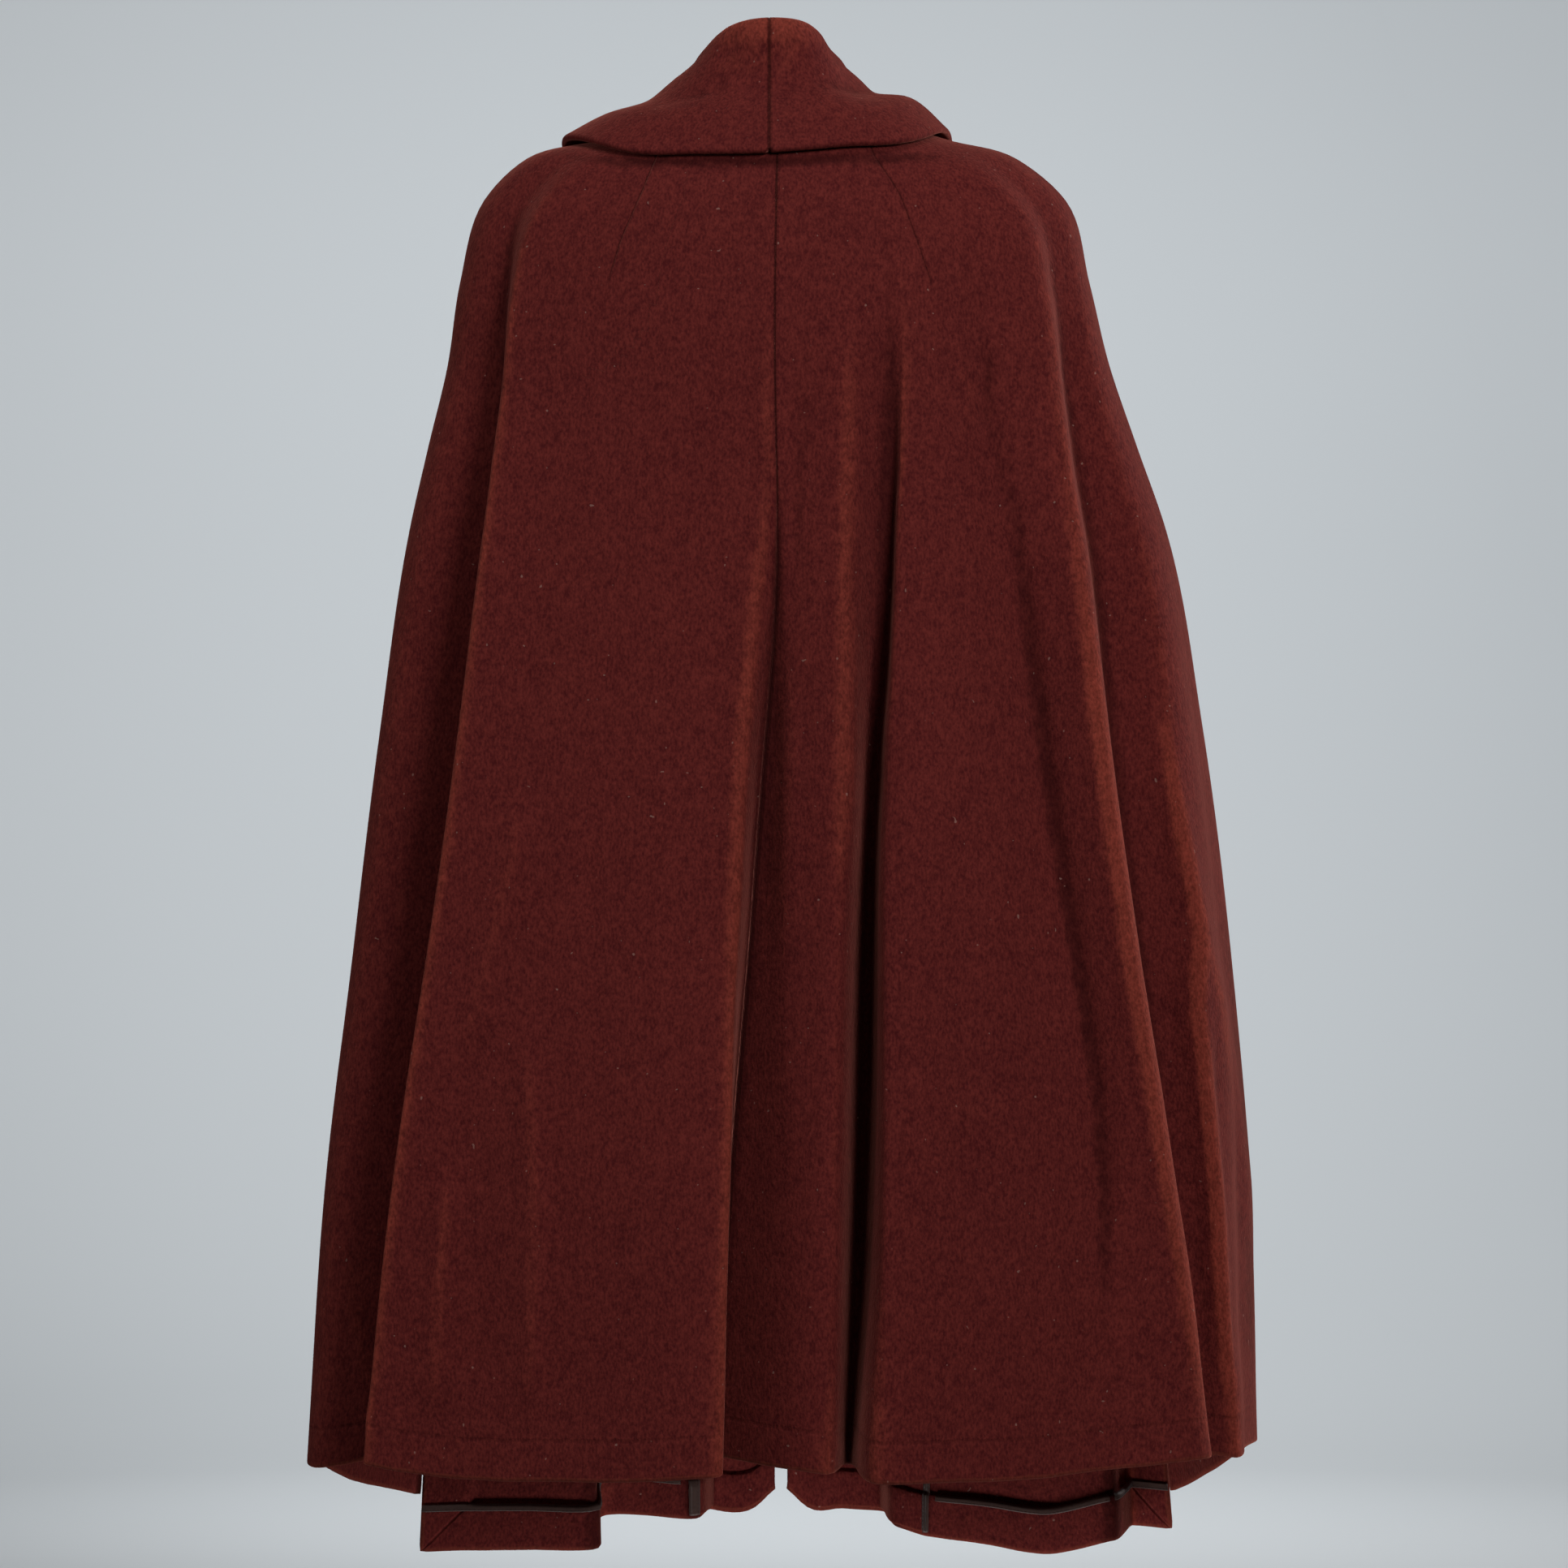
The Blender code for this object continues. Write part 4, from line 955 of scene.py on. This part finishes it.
def stitch_tree():
    """Geometry nodes that lay one small stitch after another along the edges of a mesh."""
    tree = bpy.data.node_groups.new("row_of_stitches", "GeometryNodeTree")
    face = tree.interface
    face.new_socket("Geometry", in_out="INPUT", socket_type="NodeSocketGeometry")
    for name, value in (("Pitch", STITCH_PITCH), ("Length", STITCH_LENGTH), ("Thickness", STITCH_THICKNESS)):
        socket = face.new_socket(name, in_out="INPUT", socket_type="NodeSocketFloat")
        socket.default_value = value
    face.new_socket("Thread", in_out="INPUT", socket_type="NodeSocketMaterial")
    face.new_socket("Geometry", in_out="OUTPUT", socket_type="NodeSocketGeometry")
    add, link = tree.nodes.new, tree.links.new
    given, result = add("NodeGroupInput"), add("NodeGroupOutput")
    curve, even = add("GeometryNodeMeshToCurve"), add("GeometryNodeResampleCurve")
    even.mode = "LENGTH"
    ball = add("GeometryNodeMeshUVSphere")
    ball.inputs["Segments"].default_value = STITCH_SEGMENTS
    ball.inputs["Rings"].default_value = STITCH_RINGS
    ball.inputs["Radius"].default_value = 1 / 2
    size, shaped = add("ShaderNodeCombineXYZ"), add("GeometryNodeTransform")
    tangent, turn = add("GeometryNodeInputTangent"), add("FunctionNodeAlignRotationToVector")
    turn.axis = "Z"
    laid, real = add("GeometryNodeInstanceOnPoints"), add("GeometryNodeRealizeInstances")
    finish = add("GeometryNodeSetMaterial")
    link(given.outputs["Geometry"], curve.inputs["Mesh"])
    link(curve.outputs["Curve"], even.inputs["Curve"])
    link(given.outputs["Pitch"], even.inputs["Length"])
    link(given.outputs["Thickness"], size.inputs["X"])
    link(given.outputs["Thickness"], size.inputs["Y"])
    link(given.outputs["Length"], size.inputs["Z"])
    link(ball.outputs["Mesh"], shaped.inputs["Geometry"])
    link(size.outputs["Vector"], shaped.inputs["Scale"])
    link(even.outputs["Curve"], laid.inputs["Points"])
    link(shaped.outputs["Geometry"], laid.inputs["Instance"])
    link(tangent.outputs["Tangent"], turn.inputs["Vector"])
    link(turn.outputs["Rotation"], laid.inputs["Rotation"])
    link(laid.outputs["Instances"], real.inputs["Geometry"])
    link(real.outputs["Geometry"], finish.inputs["Geometry"])
    link(given.outputs["Thread"], finish.inputs["Material"])
    link(finish.outputs["Geometry"], result.inputs["Geometry"])
    return tree


def stitches(name, paths, tree, finish, **sizes):
    """Rows of stitches along the paths, as a plain mesh."""
    mesh = bpy.data.meshes.new(name + "_path")
    points, edges = [], []
    for path in paths:
        edges += [(len(points) + k, len(points) + k + 1) for k in range(len(path) - 1)]
        points += [tuple(point) for point in path]
    mesh.from_pydata(points, edges, [])
    line = bpy.data.objects.new(name + "_path", mesh)
    bpy.context.scene.collection.objects.link(line)
    modifier = line.modifiers.new("row_of_stitches", "NODES")
    modifier.node_group = tree
    sockets = {item.name: item.identifier for item in tree.interface.items_tree if item.in_out == "INPUT"}
    modifier[sockets["Thread"]] = finish
    for word, value in sizes.items():
        modifier[sockets[word]] = value
    graph = bpy.context.evaluated_depsgraph_get()
    made_mesh = bpy.data.meshes.new_from_object(line.evaluated_get(graph))
    made_mesh.name = name
    made = bpy.data.objects.new(name, made_mesh)
    bpy.context.scene.collection.objects.link(made)
    bpy.data.objects.remove(line)
    return made


# Light and backdrop.

# One row for each lamp: its place, the point it faces, its width and height, power and colour.
LAMP_COLUMNS = ("name", "place", "faces", "width", "height", "power", "colour")
LAMPS = (
    ("key", (-1.5, 3.1, 0.9), (0.0, 0.0, -0.45), 1.2, 1.2, 58, (1.0, 0.98, 0.97)),
    ("right_edge", (-3.0, -1.4, 0.2), (0.0, 0.0, -0.5), 0.8, 1.8, 62, (1.0, 0.98, 0.96)),
    ("left", (3.0, 1.7, 0.4), (0.0, 0.0, -0.45), 1.0, 1.8, 22, (1.0, 0.99, 0.98)),
    ("left_edge", (3.3, -0.4, 0.2), (0.0, 0.0, -0.5), 0.8, 1.8, 5, (1.0, 0.99, 0.98)),
    ("top", (-0.3, 0.9, 2.6), (0.0, 0.0, -0.3), 1.4, 1.0, 21, (1.0, 0.99, 0.98)),
    ("front", (0.8, -3.4, 0.5), (0.0, 0.0, -0.5), 1.6, 1.6, 7, (1.0, 0.99, 0.98)),
    ("under", (-0.09, 0.06, -1.40), (-0.09, -0.30, -1.0), 0.6, 0.1, 1.9, (1.0, 0.98, 0.97)),
    ("wall", (-0.04, -2.2, 0.35), (-0.04, -5.2, 0.2), 1.8, 1.2, 71, (0.95, 0.98, 1.0)),
)
AIR_COLOUR = (0.90, 0.95, 1.0)
AIR_STRENGTH = 0.01
FLOOR_Z = -1.5
COVE_RADIUS = 5.2
COVE_BEND = 1.6
COVE_HEIGHT = 5.0
COVE_STEPS = 16  # steps in the bend
COVE_TURNS = 96  # steps all round


def make_lamps():
    for name, place, faces, width, height, power, colour in LAMPS:
        data = bpy.data.lights.new(name, "AREA")
        data.shape = "RECTANGLE"
        data.size, data.size_y, data.energy, data.color = width, height, power, colour
        lamp = bpy.data.objects.new(name, data)
        lamp.location = place
        lamp.rotation_euler = (Vector(faces) - Vector(place)).to_track_quat("-Z", "Y").to_euler()
        lamp.visible_camera = False
        bpy.context.scene.collection.objects.link(lamp)
    world = bpy.data.worlds.new("studio_air")
    world.use_nodes = True
    air = world.node_tree.nodes["Background"]
    air.inputs["Color"].default_value = (*AIR_COLOUR, 1)
    air.inputs["Strength"].default_value = AIR_STRENGTH
    bpy.context.scene.world = world


def make_backdrop():
    """A round studio cove: a pale floor that curves up into a wall on all sides.

    It throws no light back on the cape and keeps none off it.
    """
    start = COVE_RADIUS - COVE_BEND
    profile = [(start, FLOOR_Z)]
    for turn in (math.pi / 2 * k / COVE_STEPS for k in range(1, COVE_STEPS + 1)):
        profile.append((start + COVE_BEND * math.sin(turn), FLOOR_Z + COVE_BEND * (1 - math.cos(turn))))
    profile.append((COVE_RADIUS, COVE_HEIGHT))
    points = [(0.0, 0.0, FLOOR_Z)]
    for k in range(COVE_TURNS):
        c, s = math.cos(math.tau * k / COVE_TURNS), math.sin(math.tau * k / COVE_TURNS)
        points += [(r * c, r * s, z) for r, z in profile]
    faces, n = [], len(profile)
    for k in range(COVE_TURNS):
        a, b = 1 + k * n, 1 + (k + 1) % COVE_TURNS * n
        faces.append((0, a, b))
        faces += [(a + j, a + j + 1, b + j + 1, b + j) for j in range(n - 1)]
    mesh = bpy.data.meshes.new("backdrop")
    mesh.from_pydata(points, [], faces)
    mesh.shade_smooth()
    paper = ("backdrop_paper", BACKDROP_GRAINS, BACKDROP_DARK, BACKDROP_LIGHT, BACKDROP_SURFACE)
    mesh.materials.append(smooth_finish(*paper))
    made = bpy.data.objects.new("backdrop", mesh)
    made.visible_diffuse = made.visible_glossy = made.visible_shadow = False
    bpy.context.scene.collection.objects.link(made)


# Making the cape.


def edge_map(cut, free, crest):
    """Distance to the nearest free edge, for the painted highlight of the nap there, and how far the cloth
    stands out.

    free names the edges that are free.
    """
    across, up = cut[..., 0], cut[..., 1]
    found = np.full(across.shape, 1.0)
    sides = {
        "near": across,
        "far": across.max(axis=1, keepdims=True) - across,
        "hem": up,
    }
    for name in free:
        found = np.minimum(found, sides[name])
    return np.stack([found, crest], axis=-1)


def below_slit(cut, edge):
    """The edge map with the slit's edge counted only where the slit is open."""
    closed = np.array(ROWS)[:, None] < SLIT_TOP
    found = np.where(closed, np.minimum(cut[..., 1], 1.0), edge[..., 0])
    return np.stack([found, edge[..., 1]], axis=-1)


def seam_map(points, seam_last, side=None):
    """Distance to the nearest sewn line, and the share of the way along it.

    The lines are the centre back seam and, where side is given, the dart of that side.
    """
    from_seam = gone(points.transpose(1, 0, 2)).T
    if seam_last:
        from_seam = from_seam[:, -1:] - from_seam
    across, along = from_seam, 0 * from_seam
    if side:
        dart, dart_along = near_path(points, DARTS[side])
        dart = np.where(points[..., 1] > 0, dart * DART_FAINT[side], 1.0)
        nearer = np.abs(dart) < from_seam
        across, along = np.where(nearer, dart, across), np.where(nearer, dart_along, along)
    return np.stack([across, along], axis=-1)


def place_piece(pieces, node, piece):
    """Ties a piece to the solid that it stands for, and keeps it under the solid's name."""
    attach(piece, "root")
    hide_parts(node)
    pieces[node] = piece


make_camera()
bpy.context.scene.view_settings.view_transform = "Standard"

wool_back = wool("melton_wool_back", (dart_line, hem_line))
wool_front = wool("melton_wool_front", (mitre_line,))
wool_collar = wool("melton_wool_collar", (dart_line,))
wool_plain = wool("melton_wool_plain", ())
satin_brown = satin("brown_satin")
thread = smooth_finish("sewing_thread", THREAD_GRAINS, THREAD_DARK, THREAD_LIGHT, THREAD_SURFACE)
row_of_stitches = stitch_tree()

back_knots, back_places, back_columns = columns(BACK_FOLDS)
back = surface(lambda share: fold_lines(BACK_FOLDS, share), BACK_FOLDS, back_knots, back_places)
seam_column = back_columns["centre_seam"]
fronts = {}
for side, folds, seam_end in (("left", FRONT_LEFT_FOLDS, -1), ("right", FRONT_RIGHT_FOLDS, 0)):
    knots, places, at = columns(folds)
    lines = lambda share, folds=folds, seam_end=seam_end: front_lines(folds, share, seam_end)
    points = surface(lines, folds, knots, places)
    fronts[side] = {"points": points, "seam_end": seam_end, "columns": at}


def shared_normals(back_points):
    """Normals of the back and the fronts, equal where they meet above the arm slits."""
    own = np.clip((np.array(ROWS) - SLIT_TOP) / SLIT_EDGE_OWN, 0, 1)[:, None]
    back_normal = normals(back_points)
    for front in fronts.values():
        seam_end = front["seam_end"]
        normal = normals(front["points"])
        back_end = 0 if seam_end == -1 else -1
        shared = normal[:, seam_end] + back_normal[:, back_end]
        shared /= np.linalg.norm(shared, axis=1, keepdims=True)
        for each, end in ((normal, seam_end), (back_normal, back_end)):
            mix = shared * (1 - own) + each[:, end] * own
            each[:, end] = mix / np.linalg.norm(mix, axis=1, keepdims=True)
        front["normal"] = normal
    return back_normal


back_normal = shared_normals(back)
back = creased(back, back_normal, CREASES)
for front in fronts.values():
    front["points"] = creased(front["points"], front["normal"], CREASES)
back_normal = shared_normals(back)
back_crest = standing(back, back_normal)

pieces = {}
open_round = np.where(np.array(ROWS) > SLIT_TOP, ROUND, SEAM_ROUND)  # sewn above the arm slit
all_round = (ROUND, ROUND, ROUND, ROUND)
halves = (
    ("left", slice(0, seam_column + 1), (SEAM_ROUND, ROUND, open_round, SEAM_ROUND)),
    ("right", slice(seam_column, None), (SEAM_ROUND, ROUND, SEAM_ROUND, open_round)),
)
for side, part, rounds in halves:
    left = side == "left"
    points, normal = back[:, part], back_normal[:, part]
    cut = cut_map(points, left)
    thick = panel_thickness(cut)
    edge = below_slit(cut, edge_map(cut, ("near", "hem"), back_crest[:, part]))
    maps = {"cut": cut, "dart": seam_map(points, left, side), "edge": edge}
    piece = shell("wool_back_" + side, points, normal, thick, rounds, wool_back, maps)
    place_piece(pieces, "back_" + side, piece)

for side, front in fronts.items():
    left = side == "left"
    points, normal = front["points"], front["normal"]
    cut = cut_map(points, not left)
    thick = panel_thickness(cut)
    crest = standing(points, normal)
    edge = below_slit(cut, edge_map(cut, ("near", "hem"), crest))
    edge[..., 0] = np.minimum(edge[..., 0], edge_map(cut, ("far",), crest)[..., 0])
    rounds = (SEAM_ROUND, ROUND, ROUND, open_round) if left else (SEAM_ROUND, ROUND, open_round, ROUND)
    maps = {"cut": cut, "edge": edge}
    piece = shell("wool_front_" + side, points, normal, thick, rounds, wool_front, maps)
    place_piece(pieces, "front_" + side, piece)

    along = gone(points[-1])
    turn = along[front["columns"]["front_valley"]]
    step = 1 if left else -1
    inner_end = along[-1] if left else 0.0
    front_end = 0.0 if left else along[-1]

    across = np.sort(np.linspace(front_end, turn, FACING_COLUMNS))
    near, up, near_cut = sewn_on(points, normal, thick, FACING_TOP, FACING_BOTTOM, across)
    maps = {"cut": near_cut, "edge": edge_map(near_cut, ("hem",), np.zeros(near.shape[:2]))}
    flat = np.full(near.shape[:2], CLOTH)
    piece = shell("wool_facing_" + side, near, up, flat, all_round, wool_plain, maps)
    place_piece(pieces, "facing_" + side, piece)

    across = np.sort(turn + step * np.linspace(0, BINDING_WIDTH, BINDING_COLUMNS))
    near, up, near_cut = sewn_on(points, normal, thick, FACING_TOP, FACING_BOTTOM, across)
    flat = np.full(near.shape[:2], BOUND_EDGE)
    piece = shell("satin_facing_" + side, near, up, flat, all_round, satin_brown, {"cut": near_cut})
    place_piece(pieces, "facing_binding_" + side, piece)
    satin_face = near - up * (BOUND_EDGE + STITCH_THICKNESS * STITCH_LIFT)
    facing_path = satin_face[:, 1 if left else -2]

    start = turn + step * 2 * BINDING_WIDTH
    across = np.sort(np.linspace(start, inner_end, round(abs(inner_end - start) / COLUMN_WIDTH)))
    near, up, near_cut = sewn_on(points, normal, thick, HEM_TOP, HEM_TOP + HEM_BINDING_SHARE, across)
    flat = np.full(near.shape[:2], SATIN)
    piece = shell("satin_hem_" + side, near, up, flat, all_round, satin_brown, {"cut": near_cut})
    place_piece(pieces, "hem_binding_" + side, piece)
    hem_path = (near - up * (SATIN + STITCH_THICKNESS * STITCH_LIFT))[-2]

    sewn = stitches("stitches_front_" + side, [facing_path, hem_path], row_of_stitches, thread)
    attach(sewn, "root")
    pieces["stitches_" + side] = sewn

collar_left = collar_grid(COLLAR[0][0], 90)
collar_right = collar_grid(90, COLLAR[-1][0])
collar = np.concatenate([collar_left, collar_right[:, 1:]], axis=1)
collar = creased(collar, normals(collar), COLLAR_CREASES)
collar_normal = normals(collar)
collar_crest = standing(collar.transpose(1, 0, 2), collar_normal.transpose(1, 0, 2)).T
middle = collar_left.shape[1] - 1
for side, part in (("left", slice(0, middle + 1)), ("right", slice(middle, None))):
    left = side == "left"
    points, normal = collar[:, part], collar_normal[:, part]
    cut = cut_map(points, left)
    maps = {"cut": cut, "dart": seam_map(points, left), "edge": edge_map(cut, (), collar_crest[:, part])}
    rounds = (ROUND, ROUND, ROUND, SEAM_ROUND) if left else (ROUND, ROUND, SEAM_ROUND, ROUND)
    flat = np.full(points.shape[:2], COLLAR_CLOTH)
    piece = shell("wool_collar_" + side, points, normal, flat, rounds, wool_collar, maps)
    place_piece(pieces, "collar_" + side, piece)

make_lamps()
make_backdrop()
